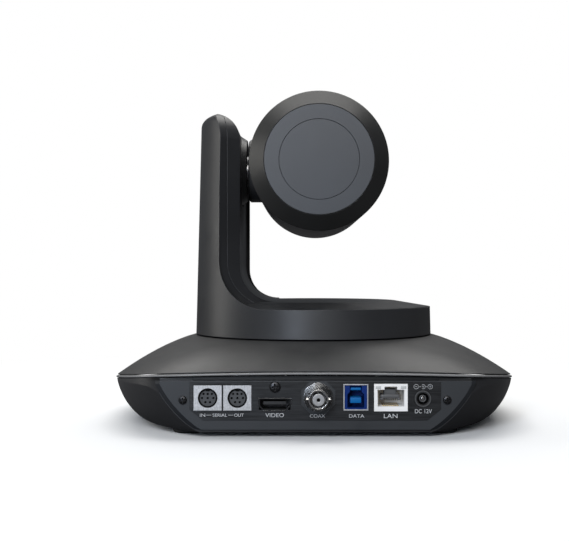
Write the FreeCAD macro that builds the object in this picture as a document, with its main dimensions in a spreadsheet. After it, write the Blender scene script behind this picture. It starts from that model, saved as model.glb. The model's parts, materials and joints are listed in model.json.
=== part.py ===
"""Desktop pan, tilt and zoom camera: a boat-shaped base with a rear connector panel, a one-armed
yoke that pans on it, and a round camera head that tilts beside the arm.

Millimetres. +Z is up, the lens looks along -Y at rest, the connector panel faces +Y and the arm
stands at +X. The origin is on the table, under the pan axis.
"""
import FreeCAD, Part
import Sketcher
import math
import os
import re
from FreeCAD import Placement, Rotation, Vector

# ---------------------------------------------------------------- driving dimensions

SIZES = [
    # base housing
    ("base_half_width", 108.6, "bowl, half width at the rim"),
    ("base_rear_depth", 110.0, "bowl, depth behind the pan axis before the flat cut"),
    ("base_front_depth", 102.0, "bowl, depth in front of the pan axis"),
    ("foot_half_width", 91.6, "bowl, half width at its underside"),
    ("foot_rear_depth", 100.2, "bowl, rear depth at its underside"),
    ("foot_front_depth", 84.0, "bowl, front depth at its underside"),
    ("base_underside", 2.6, "height of the bowl's underside"),
    ("bowl_full_height", 26.3, "height where the bowl is widest"),
    ("bowl_roundness", 1.7, "exponent of the bowl's side profile"),
    ("base_squareness", 2.56, "exponent of the plan outline"),
    ("rim_rear", 92.0, "rear limit of the rim, over the connector panel"),
    ("rim_corner", 30.0, "how sharply the rim turns into that limit"),
    ("rim_height", 25.0, "height of the parting line on the pan axis"),
    ("rim_arch", 2500.0, "radius of the parting line's arch across the base"),
    ("rim_slope", 0.081, "rise of the parting line towards the rear"),
    ("rim_bead", 1.3, "height of the trim bead under the parting line"),
    ("bead_reach", 0.15, "how far the bead stands out of the rim"),
    ("bead_width", 4.0, "how far the bead's ring reaches in between the shells"),
    ("dome_top", 45.4, "height of the upper shell's flat top"),
    ("dome_foot", 12.0, "height that the upper shell's surface is carried down to"),
    ("dome_bulge", 0.53, "how far the upper shell's slope bulges"),
    ("dome_inset", 0.8, "step from the rim in to the upper shell"),
    ("crown_radius", 67.5, "radius of the flat top"),
    ("crown_opening", 22.0, "radius of the round opening in it"),
    ("base_wall", 2.4, "wall of the base shells"),
    ("seam_gap", 0.3, "gap between neighbouring shells"),
    ("fit_gap", 0.15, "clearance round a part set in an opening"),
    ("running_gap", 0.05, "radial clearance of a turning fit"),
    ("press_gap", 0.02, "clearance where a part is pushed or screwed home"),
    ("rear_sill", 8.0, "lower edge of the rear wall's window"),
    # rear panel
    ("window_low", 6.0, "infrared window, lower edge"),
    ("window_high", 12.5, "infrared window, upper edge"),
    ("window_half", 17.0, "infrared window, half width"),
    ("panel_rear", 90.0, "outer face of the connector panel"),
    ("panel_thick", 2.0, "connector panel thickness"),
    ("panel_low", 4.1, "lower edge of the panel"),
    ("panel_high", 27.8, "upper edge of the panel"),
    ("label_thick", 0.4, "label plate thickness"),
    ("label_left", 61.3, "label plate edge on the +X side"),
    ("label_right", 60.8, "label plate edge on the -X side"),
    ("label_low", 8.8, "label plate lower edge"),
    ("label_high", 27.5, "label plate upper edge"),
    ("label_corner", 6.6, "width of its slanted lower corners"),
    ("label_corner_tall", 5.3, "height of its slanted lower corners"),
    ("screw_left", 64.6, "side panel screw, +X side"),
    ("screw_right", 63.8, "side panel screw, -X side"),
    ("screw_side_z", 18.7, "side panel screws, height"),
    ("screw_top_x", 19.7, "upper panel screw, place across"),
    ("screw_top_z", 24.9, "upper panel screw, height"),
    ("screw_head", 2.6, "upper panel screw head radius"),
    ("screw_side_head", 2.0, "side panel screws, head radius"),
    ("screw_head_tall", 1.7, "panel screw head height"),
    ("screw_round", 0.6, "rounding of the screw heads"),
    ("screw_drive", 0.9, "radius and depth of the driver recess"),
    ("screw_shank", 1.25, "panel screw shank radius"),
    ("screw_long", 7.0, "panel screw length"),
    # sockets, centred on X and Z
    ("din_width", 13.6, "mini-DIN shell width"),
    ("din_height", 12.1, "mini-DIN shell height"),
    ("din_depth", 12.8, "mini-DIN depth behind the panel"),
    ("din_bore", 4.65, "mini-DIN round opening radius"),
    ("din_in_x", 52.4, "first mini-DIN place"),
    ("din_out_x", 38.0, "second mini-DIN place"),
    ("din_z", 19.65, "mini-DIN centre height"),
    ("din_pin_bore", 0.55, "mini-DIN contact hole radius"),
    ("din_pin_deep", 6.0, "mini-DIN contact hole depth"),
    ("din_set_back", 0.6, "mini-DIN insert behind its mouth"),
    ("din_top_row", 1.9, "upper contact row above the centre"),
    ("din_top_pitch", 2.05, "upper row's spacing"),
    ("din_middle_row", 0.1, "middle contact row below the centre"),
    ("din_middle_pitch", 2.75, "middle row's spacing"),
    ("din_low_row", 2.1, "lower contact row below the centre"),
    ("din_low_pitch", 2.2, "lower row's spacing"),
    ("video_x", 19.9, "video socket place"),
    ("video_z", 16.7, "video socket centre height"),
    ("video_width", 15.0, "video socket shell width"),
    ("video_height", 5.6, "video socket shell height"),
    ("video_depth", 11.0, "video socket depth"),
    ("video_wall", 0.4, "video socket shell wall"),
    ("video_taper", 1.6, "slant of its lower corners"),
    ("video_tongue_width", 11.0, "video socket tongue width"),
    ("video_tongue_tall", 1.4, "video socket tongue thickness"),
    ("video_tongue_rise", 0.4, "video socket tongue above the centre"),
    ("video_tongue_back", 1.5, "video socket tongue behind the mouth"),
    ("coax_x", -1.2, "coaxial socket place"),
    ("coax_z", 20.0, "coaxial socket centre height"),
    ("coax_radius", 4.8, "coaxial socket barrel radius"),
    ("coax_bore", 4.05, "coaxial socket opening radius"),
    ("coax_reach", 12.15, "coaxial socket length outside the panel"),
    ("coax_nut", 7.2, "coaxial socket nut radius across its corners"),
    ("coax_nut_thick", 2.0, "coaxial socket nut thickness"),
    ("coax_window", 8.3, "half width of the eight-sided opening round it"),
    ("coax_floor", 2.0, "coaxial socket floor, outside the panel"),
    ("coax_tail", 9.0, "coaxial socket length inside the panel"),
    ("coax_lug", 0.95, "bayonet lug radius"),
    ("coax_lug_reach", 1.1, "bayonet lug height"),
    ("coax_lug_back", 3.0, "bayonet lugs behind the tip"),
    ("coax_core", 2.9, "insulator radius"),
    ("coax_pin", 0.85, "centre contact radius"),
    ("coax_pin_bore", 0.45, "centre contact opening radius"),
    ("coax_pin_deep", 3.0, "centre contact opening depth"),
    ("usb_x", -19.5, "data socket place"),
    ("usb_z", 20.0, "data socket centre height"),
    ("usb_width", 12.0, "data socket shell width"),
    ("usb_height", 12.8, "data socket shell height"),
    ("usb_depth", 16.0, "data socket depth"),
    ("usb_wall", 0.5, "data socket shell wall"),
    ("usb_mouth_half", 4.1, "data socket opening, half width"),
    ("usb_mouth_low", 5.2, "data socket opening, below the centre"),
    ("usb_shoulder", 1.3, "height where its sides turn in"),
    ("usb_neck_half", 2.9, "half width of its upper part"),
    ("usb_neck_low", 2.5, "height where the upper part begins"),
    ("usb_neck_high", 5.3, "top of the opening above the centre"),
    ("usb_mouth_deep", 9.0, "data socket opening depth"),
    ("usb_insert_back", 0.8, "data socket insert behind the mouth"),
    ("usb_tongue_back", 0.8, "data socket tongues behind the insert"),
    ("usb_tongue_width", 5.6, "lower tongue width"),
    ("usb_tongue_tall", 2.8, "lower tongue height"),
    ("usb_tongue_low", 3.0, "lower tongue's underside below the centre"),
    ("usb_tab_width", 5.2, "upper tongue width"),
    ("usb_tab_tall", 1.2, "upper tongue height"),
    ("usb_tab_low", 3.3, "upper tongue's underside above the centre"),
    ("lan_x", -36.5, "network socket place"),
    ("lan_z", 19.85, "network socket centre height"),
    ("lan_width", 16.3, "network socket width"),
    ("lan_height", 13.3, "network socket height"),
    ("lan_depth", 18.0, "network socket depth"),
    ("lan_mouth_width", 12.9, "network socket opening width"),
    ("lan_mouth_height", 8.1, "network socket opening height"),
    ("lan_mouth_depth", 13.0, "network socket opening depth"),
    ("lan_mouth_low", 4.3, "network socket opening, below the centre"),
    ("lan_notch_width", 6.2, "latch notch width"),
    ("lan_notch_tall", 1.5, "latch notch height"),
    ("lan_pitch", 1.02, "contact spacing"),
    ("lan_contact_width", 0.5, "contact width"),
    ("lan_contact_tall", 0.35, "contact thickness"),
    ("lan_contact_long", 11.0, "contact length"),
    ("dc_x", -52.0, "power socket place"),
    ("dc_z", 19.3, "power socket centre height"),
    ("dc_radius", 4.0, "power socket collar radius"),
    ("dc_bore", 2.9, "power socket opening radius"),
    ("dc_pin", 1.0, "power socket pin radius"),
    ("dc_depth", 12.0, "power socket depth"),
    ("socket_floor", 1.0, "thickness of the sockets' rear walls"),
    ("socket_reach", 0.9, "how far a socket stands out of the panel"),
    # feet, tripod nut, screws, boards
    ("foot_radius", 7.8, "rubber foot radius"),
    ("foot_x", 64.0, "rubber foot place across"),
    ("foot_rear", 68.0, "rear feet, distance behind the pan axis"),
    ("foot_front", 54.0, "front feet, distance in front of it"),
    ("foot_recess", 0.8, "how far a foot sits in the underside"),
    ("foot_edge", 0.8, "bevel of the feet"),
    ("tripod_bore", 2.55, "tripod thread radius, 1/4-20"),
    ("tripod_radius", 6.0, "tripod nut radius"),
    ("tripod_length", 8.0, "tripod nut length"),
    ("tripod_drop", 0.4, "how far the nut stands below the underside"),
    ("board_thick", 1.6, "circuit board thickness"),
    ("board_half_width", 60.0, "main board half width"),
    ("board_front", 24.0, "main board front edge"),
    ("board_rear", 84.5, "main board rear edge"),
    ("board_height", 11.3, "main board underside height"),
    ("post_x", 42.0, "bearing plate posts, place across"),
    ("post_front", 34.0, "front posts, distance in front of the pan axis"),
    ("post_rear", 14.0, "rear posts, distance behind it"),
    ("post_radius", 4.0, "post radius"),
    ("standoff_x", 52.0, "board standoffs, place across"),
    ("standoff_front", 29.0, "front standoffs, distance behind the pan axis"),
    ("standoff_rear", 60.5, "rear standoffs, distance behind the pan axis"),
    ("standoff_radius", 3.0, "standoff radius"),
    ("heat_sink_y", 44.0, "heat sink, distance behind the pan axis"),
    ("heat_sink_width", 34.0, "heat sink width"),
    ("heat_sink_deep", 26.0, "heat sink depth"),
    ("heat_sink_tall", 9.0, "heat sink height"),
    ("fin_gap", 1.6, "slot between heat sink fins"),
    ("fin_gap_long", 22.0, "length of those slots"),
    ("fin_pitch", 4.0, "spacing of those slots"),
    # pan drive
    ("pan_shaft_radius", 10.0, "pan shaft outer radius"),
    ("pan_shaft_bore", 7.0, "cable way through the pan shaft"),
    ("pan_shaft_low", 14.5, "lower end of the pan shaft"),
    ("pan_bearing_radius", 16.0, "pan bearing outer radius"),
    ("pan_bearing_low", 29.5, "underside of the pan bearing"),
    ("pan_bearing_tall", 7.0, "pan bearing height"),
    ("bearing_plate_low", 31.0, "underside of the bearing plate"),
    ("bearing_plate_thick", 3.0, "bearing plate thickness"),
    ("plate_half", 50.0, "bearing plate half width"),
    ("plate_rear", 22.0, "bearing plate rear edge"),
    ("plate_front", 40.0, "bearing plate shoulder, in front of the pan axis"),
    ("plate_nose", 22.0, "half width of its nose under the motor"),
    ("plate_nose_front", 74.0, "front edge of its nose"),
    ("pan_pulley_radius", 38.2, "pan pulley radius, 120 teeth"),
    ("pan_pulley_low", 37.5, "underside of the pan pulley"),
    ("pulley_width", 5.0, "width of the pulleys"),
    ("pulley_web", 2.0, "thickness of the pulleys between rim and hub"),
    ("pulley_rim", 4.0, "width of a pulley's rim"),
    ("pulley_hub", 4.0, "width of a pulley's hub"),
    ("pan_flange", 18.0, "radius of the pan shaft's top flange"),
    ("pan_flange_thick", 2.2, "thickness of that flange"),
    ("pinion_radius", 4.8, "motor pinion radius, 15 teeth"),
    ("pan_motor_reach", 60.0, "pan motor distance from the pan axis"),
    ("pan_motor_radius", 12.0, "pan motor can radius"),
    ("pan_motor_long", 16.0, "pan motor can length"),
    ("motor_bevel", 1.0, "bevel of the motor can"),
    ("motor_floor", 5.0, "depth of solid can under the motor shaft"),
    ("motor_shaft", 1.5, "motor shaft radius"),
    ("motor_shaft_sunk", 8.0, "length of the shaft inside the motor"),
    ("motor_hole", 4.8, "radius of the hole over a motor"),
    ("belt_width", 4.0, "drive belt width"),
    ("belt_thick", 1.0, "drive belt thickness"),
    ("belt_gap", 0.3, "running gap inside the belt loops"),
    # yoke
    ("disc_low", 46.2, "underside of the pan disc"),
    ("disc_radius", 66.5, "pan disc radius at its underside"),
    ("disc_rim", 61.3, "top of the pan disc's wall"),
    ("disc_plateau", 64.5, "top face of the pan disc"),
    ("plateau_radius", 47.0, "radius of that top face"),
    ("yoke_top", 166.9, "top of the arm"),
    ("yoke_top_radius", 63.6, "radius of the tapered outer face at the top"),
    ("yoke_crest", 5.3, "rounding of the arm's outer top edge"),
    ("arm_face", 40.2, "inner face of the arm"),
    ("arm_edge", 50.6, "arm's rear edge line, distance from the pan axis"),
    ("arm_face_rear", 31.0, "inner face, rear edge"),
    ("arm_edge_rear", 39.8, "edge line, distance behind the pan axis"),
    ("arm_face_front", 41.5, "inner face, front edge"),
    ("arm_lip", 1.9, "height of the lip along the front edge"),
    ("arm_lip_width", 2.4, "width of that lip"),
    ("elbow_face", 19.5, "elbow radius of the inner face"),
    ("elbow_edge", 25.0, "elbow radius of the edge line"),
    ("arm_crest", 14.5, "rounding of the inner face at the top"),
    ("arm_corner", 16.0, "corner radius of the arm's top, seen from the side"),
    ("arm_side_rear", 40.8, "rear limit of the arm above the elbow"),
    ("arm_side_front", 50.5, "front limit of the arm above the elbow"),
    ("arm_side_low", 100.0, "height where those limits begin"),
    ("cover_radius", 102.0, "radius of the joint between the arm's two shells"),
    ("cover_outer_x", 53.6, "that joint's furthest point from the pan axis"),
    ("cover_elbow", 25.0, "elbow radius of that joint"),
    ("yoke_wall", 2.0, "wall of the yoke shells"),
    ("frame_thick", 1.5, "yoke frame disc thickness"),
    ("frame_radius", 63.5, "yoke frame disc radius"),
    ("frame_low", 46.5, "underside of the frame disc"),
    ("upright_face", 44.5, "inner face of the frame's upright"),
    ("upright_thick", 2.5, "thickness of the upright"),
    ("upright_half", 20.0, "half width of the upright"),
    ("upright_top", 155.0, "top of the upright"),
    # tilt drive
    ("tilt_height", 138.2, "height of the tilt axis"),
    ("hub_radius", 17.8, "tilt hub radius"),
    ("hub_face", 36.4, "tilt hub's outer face"),
    ("hub_inner", 24.0, "tilt hub's inner end"),
    ("hub_bevel", 1.0, "bevel of the hub's outer face"),
    ("tilt_shaft_inner", 22.0, "inner end of the tilt shaft"),
    ("boss_root", 20.1, "radius of the arm's boss at its root"),
    ("boss_tip", 17.3, "radius of the boss at its tip"),
    ("boss_reach", 2.8, "how far the boss stands out of the arm"),
    ("boss_skirt", 1.6, "depth of its tapered part behind the arm's face"),
    ("boss_base", 2.6, "depth of its base behind the arm's face"),
    ("boss_gap", 1.2, "clearance round the tilt shaft in the boss"),
    ("tilt_shaft_radius", 8.5, "tilt shaft outer radius"),
    ("tilt_shaft_bore", 6.5, "cable way through the tilt shaft"),
    ("tilt_shaft_outer", 57.0, "outer end of the tilt shaft"),
    ("tilt_bearing_radius", 13.0, "tilt bearing outer radius"),
    ("tilt_bearing_face", 43.2, "inner face of the tilt bearing"),
    ("tilt_bearing_wide", 5.0, "tilt bearing width"),
    ("tilt_pulley_radius", 19.1, "tilt pulley radius, 60 teeth"),
    ("tilt_pulley_face", 50.2, "inner face of the tilt pulley"),
    ("tilt_motor_height", 57.0, "height of the tilt motor's axis"),
    ("tilt_motor_radius", 8.2, "tilt motor can radius"),
    ("tilt_motor_long", 12.0, "tilt motor can length"),
    ("tilt_shaft_sunk", 6.0, "length of the shaft inside the tilt motor"),
    # head
    ("barrel_x", -2.2, "barrel axis, distance from the pan axis"),
    ("barrel_radius", 36.2, "barrel outer radius"),
    ("barrel_wall", 2.2, "barrel wall"),
    ("barrel_front", 69.0, "front end of the head"),
    ("barrel_rear", 58.0, "rear end of the straight barrel"),
    ("cap_rear", 66.0, "rear face of the cap"),
    ("cap_flat", 28.1, "radius of the cap's flat face"),
    ("cap_lip", 3.0, "width of the ledge behind the cap's flat face"),
    ("cap_ledge", 5.6, "height of that ledge above the barrel's end"),
    ("cap_spigot", 3.0, "length of the cap inside the barrel"),
    ("cap_floor", 1.5, "height of the cap's inner hollow"),
    ("cap_groove", 0.25, "groove round the flat face and the round plate"),
    ("badge_radius", 20.4, "radius of the round plate in the cap"),
    ("badge_thick", 1.18, "thickness of the round plate"),
    ("bezel_width", 5.0, "front bezel, length along the barrel"),
    ("bezel_round", 1.5, "bevel of the bezel's outer edge"),
    ("bezel_face", 0.6, "bevel of the bezel's inner edge"),
    ("bezel_ledge", 2.0, "depth of the ledge that holds the window"),
    ("bezel_wall", 1.5, "wall of the bezel inside the barrel"),
    ("window_radius", 30.0, "front window radius"),
    ("window_edge", 1.0, "how far the bezel overlaps the window"),
    ("window_thick", 2.0, "front window thickness"),
    ("lens_radius", 26.5, "lens barrel outer radius"),
    ("lens_wall", 1.6, "lens barrel wall"),
    ("lens_front", 61.5, "front end of the lens barrel"),
    ("lens_back", 20.5, "rear end of the lens barrel"),
    ("lens_floor", 1.5, "thickness of the lens barrel's rear wall"),
    ("lens_opening", 8.0, "radius of the opening in that wall"),
    ("glass_back", 0.4, "front lens behind the end of its barrel"),
    ("glass_edge", 2.8, "edge thickness of the front lens"),
    ("glass_crown", 2.9, "how far its face bulges"),
    ("slide_gap", 0.3, "gap round the sliding lens groups"),
    ("zoom_place", 42.0, "zoom group, distance in front of the tilt axis"),
    ("focus_place", 28.0, "focus group, distance in front of the tilt axis"),
    ("group_length", 5.0, "length of a lens group's ring"),
    ("group_ring", 3.0, "width of a lens group's ring"),
    ("group_glass_front", 1.75, "front face of a group's glass"),
    ("group_glass_rear", 3.5, "rear face of a group's glass"),
    ("block_half", 19.0, "camera block half width"),
    ("block_front", 19.0, "front end of the camera block"),
    ("block_rear", 24.0, "rear end of the camera block"),
    ("sensor_half", 22.0, "sensor board half width"),
]

doc = FreeCAD.newDocument("ptz_camera")
sheet = doc.addObject("Spreadsheet::Sheet", "Sizes")
for row, (alias, number, meaning) in enumerate(SIZES, start=1):
    sheet.set("A%d" % row, alias)
    sheet.set("B%d" % row, str(number))
    sheet.setAlias("B%d" % row, alias)
    sheet.set("C%d" % row, meaning)
doc.recompute()

ALIASES = {alias for alias, number, meaning in SIZES}
sub_parts = {}

# How a piece's own +Z is turned to lie along an axis of the camera.
TURNS = {
    "Z": Rotation(),
    "X": Rotation(Vector(0, 1, 0), 90),
    "Y": Rotation(Vector(1, 0, 0), -90),
    "-Y": Rotation(Vector(1, 0, 0), 90),
}


def size(alias):
    """One driving dimension as a number."""
    return float(sheet.get(alias))


def rule(text):
    """An expression that names dimensions, written so that FreeCAD finds them in the sheet."""
    return re.sub(r"[A-Za-z_]\w*", lambda m: "Sizes." + m[0] if m[0] in ALIASES else m[0], text)


def value(text):
    """What such an expression comes to."""
    return float(sheet.evalExpression(rule(text)))


def place(thing, at=("0", "0", "0"), along="Z"):
    """Puts a piece's own origin at a point worked out from the sheet, its +Z along an axis."""
    thing.Placement = Placement(Vector(*[value(text) for text in at]), TURNS[along])
    for letter, text in zip("xyz", at):
        if text != "0":
            thing.setExpression("Placement.Base." + letter, rule(text))
    return thing


def keep(node, thing):
    """Names a finished sub-part."""
    thing.Label = node
    sub_parts[node] = thing
    return thing


# ---------------------------------------------------------------- sketched pieces

def rectangle(width, height, x="0", y="0"):
    """Corners of a rectangle centred on x, y."""
    return [("%s %s (%s)/2" % (x, across, width), "%s %s (%s)/2" % (y, up, height))
            for across, up in (("-", "-"), ("+", "-"), ("+", "+"), ("-", "+"))]


def pin_point(sketch, geometry, point, x, y):
    """Ties one point of a sketch to two expressions."""
    for kind, text in (("DistanceX", x), ("DistanceY", y)):
        number = sketch.addConstraint(Sketcher.Constraint(kind, -1, 1, geometry, point, value(text)))
        sketch.setExpression("Constraints[%d]" % number, rule(text))


def draw(sketch, outline):
    """Adds a closed outline of corners, or a circle given as (x, y, radius)."""
    if isinstance(outline, tuple):
        x, y, radius = outline
        centre = Vector(value(x), value(y), 0)
        circle = sketch.addGeometry(Part.Circle(centre, Vector(0, 0, 1), value(radius)), False)
        pin_point(sketch, circle, 3, x, y)
        number = sketch.addConstraint(Sketcher.Constraint("Radius", circle, value(radius)))
        sketch.setExpression("Constraints[%d]" % number, rule(radius))
        return
    first = sketch.GeometryCount
    corners = [Vector(value(x), value(y), 0) for x, y in outline]
    count = len(corners)
    for i in range(count):
        sketch.addGeometry(Part.LineSegment(corners[i], corners[(i + 1) % count]), False)
    for i in range(count):
        sketch.addConstraint(Sketcher.Constraint("Coincident", first + i, 2, first + (i + 1) % count, 1))
    for i, (x, y) in enumerate(outline):
        pin_point(sketch, first + i, 1, x, y)


def sketch_on(body, plane, name, outlines):
    """A sketch on one of the body's own origin planes."""
    sketch = body.newObject("Sketcher::SketchObject", name)
    origin_plane = [item for item in body.Origin.OriginFeatures if item.Role == plane][0]
    sketch.AttachmentSupport = [(origin_plane, "")]
    sketch.MapMode = "FlatFace"
    for outline in outlines:
        draw(sketch, outline)
    return sketch


def turned(name, profile, at=("0", "0", "0"), along="Z"):
    """A turned piece: corners (radius, height) revolved round the piece's own Z."""
    body = doc.addObject("PartDesign::Body", name)
    sketch = sketch_on(body, "XZ_Plane", name + "_profile", [profile])
    doc.recompute()
    turn = body.newObject("PartDesign::Revolution", name + "_turn")
    turn.Profile = sketch
    turn.ReferenceAxis = (sketch, ["V_Axis"])
    turn.Angle = 360
    doc.recompute()
    return place(body, at, along)


def milled(name, outline, thick, at=("0", "0", "0"), along="Z", windows=(), pockets=()):
    """A plate or block: an outline padded along the piece's own Z, windows cut through it and
    pockets sunk into its z = 0 face. Each pocket is (outlines, depth)."""
    body = doc.addObject("PartDesign::Body", name)
    sketch = sketch_on(body, "XY_Plane", name + "_outline", [outline] + list(windows))
    doc.recompute()
    pad = body.newObject("PartDesign::Pad", name + "_pad")
    pad.Profile = sketch
    pad.setExpression("Length", rule(thick))
    doc.recompute()
    for number, (outlines, depth) in enumerate(pockets):
        before = body.Shape.Volume
        sketch = sketch_on(body, "XY_Plane", "%s_pocket_outline_%d" % (name, number), outlines)
        pocket = body.newObject("PartDesign::Pocket", "%s_pocket_%d" % (name, number))
        pocket.Profile = sketch
        pocket.Reversed = True
        pocket.setExpression("Length", rule(depth))
        doc.recompute()
        if body.Shape.Volume >= before:
            raise RuntimeError(name + ": a pocket cuts nothing")
    return place(body, at, along)


def cylinder(name, radius, length, at=("0", "0", "0"), along="Z"):
    """A plain cylinder that other pieces are cut or joined with."""
    rod = doc.addObject("Part::Cylinder", name)
    rod.setExpression("Radius", rule(radius))
    rod.setExpression("Height", rule(length))
    return place(rod, at, along)


def block(name, sizes, at):
    """A plain box of three sizes whose lowest corner is at a point."""
    box = doc.addObject("Part::Box", name)
    for side, text in zip(("Length", "Width", "Height"), sizes):
        box.setExpression(side, rule(text))
    return place(box, at)


def cut(name, base, tools):
    """The base with every tool taken away."""
    tool = tools[0]
    if len(tools) > 1:
        tool = doc.addObject("Part::MultiFuse", name + "_tools")
        tool.Shapes = tools
    result = doc.addObject("Part::Cut", name)
    result.Base = base
    result.Tool = tool
    return result


def group(name, shapes):
    """Separate solids kept as one sub-part, or touching ones joined."""
    result = doc.addObject("Part::MultiFuse", name)
    result.Shapes = shapes
    return result


def shaped(name, shape):
    """A piece whose surface is worked out in code."""
    piece = doc.addObject("Part::Feature", name)
    piece.Shape = shape
    return piece


# ---------------------------------------------------------------- base housing surfaces

PLAN_POINTS = 72
BOWL_STEPS = (0.0, 0.08, 0.2, 0.38, 0.6, 0.8, 1.0)
DOME_STEPS = (0.0, 0.25, 0.5, 0.75, 1.0)
ANGLES = [2 * math.pi * (k + 0.5) / PLAN_POINTS for k in range(PLAN_POINTS)]


def closed_spline(points):
    """Closed smooth curve through points."""
    curve = Part.BSplineCurve()
    curve.interpolate(Points=points, PeriodicFlag=True)
    return Part.Wire([curve.toShape()])


def plan_reach(angle, half_width, rear, front):
    """Distance from the pan axis to a superellipse whose rear and front halves differ."""
    power = size("base_squareness")
    depth = rear if math.sin(angle) > 0 else front
    spread = abs(math.cos(angle) / half_width) ** power + abs(math.sin(angle) / depth) ** power
    return spread ** (-1 / power)


def rim_reach(angle):
    """Distance from the pan axis to the rim, which turns softly into its flat rear limit."""
    reach = plan_reach(angle, *[size("base_" + side) for side in
                                ("half_width", "rear_depth", "front_depth")])
    if math.sin(angle) <= 0:
        return reach
    power = size("rim_corner")
    flat = size("rim_rear") / math.sin(angle)
    return (reach ** -power + flat ** -power) ** (-1 / power)


def ring_points(reaches, heights):
    """Points round the pan axis from a distance and a height for each angle."""
    return [Vector(reach * math.cos(angle), reach * math.sin(angle), height)
            for angle, reach, height in zip(ANGLES, reaches, heights)]


def rim_prism(grow):
    """Upright prism on the rim's outline, moved outwards by grow."""
    points = ring_points([rim_reach(angle) + grow for angle in ANGLES], [0] * PLAN_POINTS)
    return Part.Face(closed_spline(points)).extrude(Vector(0, 0, size("yoke_top")))


def rounded_share(step, power):
    """How far out a quarter superellipse has come at a share of its height."""
    return (1 - (1 - step) ** power) ** (1 / power)


def bowl(inset):
    """Solid inside the lower housing's surface, moved inwards by inset."""
    low = size("base_underside") + inset
    full = size("bowl_full_height")
    wires = []
    for step in BOWL_STEPS:
        out = rounded_share(step, size("bowl_roundness"))
        width = size("foot_half_width") + out * (size("base_half_width") - size("foot_half_width"))
        rear = size("foot_rear_depth") + step * (size("base_rear_depth") - size("foot_rear_depth"))
        front = size("foot_front_depth") + out * (size("base_front_depth") - size("foot_front_depth"))
        reaches = [plan_reach(angle, width - inset, rear - inset, front - inset) for angle in ANGLES]
        wires.append(closed_spline(ring_points(reaches, [low + step * (full - low)] * PLAN_POINTS)))
    body = Part.makeLoft(wires, True, False)
    collar = Part.Face(wires[-1]).extrude(Vector(0, 0, size("dome_top") - full))
    return body.fuse(collar)


def dome(inset):
    """Solid under the upper housing's slope, moved inwards by inset: straight lines from the round
    crown to the rim, bulged, and carried on to a flat foot below the rim."""
    top, crown, bulge = size("dome_top") - inset, size("crown_radius"), size("dome_bulge")
    rims = [rim_reach(angle) for angle in ANGLES]
    drops = []
    for angle, rim in zip(ANGLES, rims):
        x, y = rim * math.cos(angle), rim * math.sin(angle)
        drops.append(size("dome_top") - rim_surface(x, y))
    wires = []
    for step in DOME_STEPS:
        fall = step - bulge * step * (1 - step)
        reaches = [crown + step * (rim - crown) - inset for rim in rims]
        wires.append(closed_spline(ring_points(reaches, [top - drop * fall for drop in drops])))
    reaches = []
    for rim, drop in zip(rims, drops):
        fall = (top - size("dome_foot")) / drop
        step = (bulge - 1 + math.sqrt((1 - bulge) ** 2 + 4 * bulge * fall)) / (2 * bulge)
        reaches.append(crown + step * (rim - crown) - inset)
    wires.append(closed_spline(ring_points(reaches, [size("dome_foot")] * PLAN_POINTS)))
    return Part.makeLoft(wires, True, False)


def rim_surface(x, y):
    """Height of the parting surface."""
    return size("rim_height") + size("rim_slope") * y - x * x / (2 * size("rim_arch"))


def under_rim(drop):
    """Everything below the arched, sloping parting surface, lowered by drop: an arch carried
    straight back from the front."""
    reach = 2 * size("base_half_width")
    crown = size("rim_height") - drop - size("rim_slope") * reach
    spring = crown - reach * reach / (2 * size("rim_arch"))
    floor = -size("disc_radius")
    corners = [Vector(x, -reach, z) for x, z in ((-reach, spring), (-reach, floor), (reach, floor),
                                                (reach, spring))]
    edges = [Part.Arc(corners[0], Vector(0, -reach, crown), corners[3]).toShape()]
    edges += [Part.makeLine(start, end) for start, end in zip(corners[::-1], corners[-2::-1])]
    arch = Part.Face(Part.Wire(edges))
    return arch.extrude(Vector(0, 2 * reach, 2 * reach * size("rim_slope")))


def slab(y_low, y_high, z_low, z_high, half_width):
    """Box between two heights and two depths."""
    corner = Vector(-half_width, y_low, z_low)
    return Part.makeBox(2 * half_width, y_high - y_low, z_high - z_low, corner)


bowl_outer = bowl(0)
bowl_inner = bowl(size("base_wall"))
wide = 2 * size("base_half_width")
wall_rear = size("panel_rear") - size("panel_thick") - size("running_gap")
wall_front = wall_rear - size("base_wall")

# Each socket: place across and up, and the half width and half height of its opening.
SOCKETS = {
    "din_in": ("din_in_x", "din_z", "din_width", "din_height"),
    "din_out": ("din_out_x", "din_z", "din_width", "din_height"),
    "video": ("video_x", "video_z", "video_width", "video_height"),
    "usb": ("usb_x", "usb_z", "usb_width", "usb_height"),
    "lan": ("lan_x", "lan_z", "lan_width", "lan_height"),
}
ROUND_SOCKETS = {
    "coax": ("coax_x", "coax_z", "coax_radius"),
    "dc": ("dc_x", "dc_z", "dc_radius"),
}
PANEL_SCREWS = [("screw_left", "screw_side_z", "screw_side_head"),
                ("-screw_right", "screw_side_z", "screw_side_head"),
                ("screw_top_x", "screw_top_z", "screw_head")]


def socket_openings(y_low, y_high, gap):
    """Holes for every socket between two depths."""
    holes = []
    for x, z, width, height in SOCKETS.values():
        half = size(width) / 2 + gap
        tall = size(height) / 2 + gap
        corner = Vector(size(x) - half, y_low, size(z) - tall)
        holes.append(Part.makeBox(2 * half, y_high - y_low, 2 * tall, corner))
    for x, z, radius in ROUND_SOCKETS.values():
        start = Vector(size(x), y_low, size(z))
        holes.append(Part.makeCylinder(size(radius) + gap, y_high - y_low, start, Vector(0, 1, 0)))
    return holes


def screw_holes(y_low, y_high, radius):
    """Holes for the panel screws between two depths."""
    return [Part.makeCylinder(radius, y_high - y_low, Vector(value(x), y_low, value(z)),
                              Vector(0, 1, 0)) for x, z, head in PANEL_SCREWS]


def foot_places():
    """The four feet: x and y of each centre."""
    return [(side * size("foot_x"), y) for side in (-1, 1)
            for y in (size("foot_rear"), -size("foot_front"))]


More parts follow.
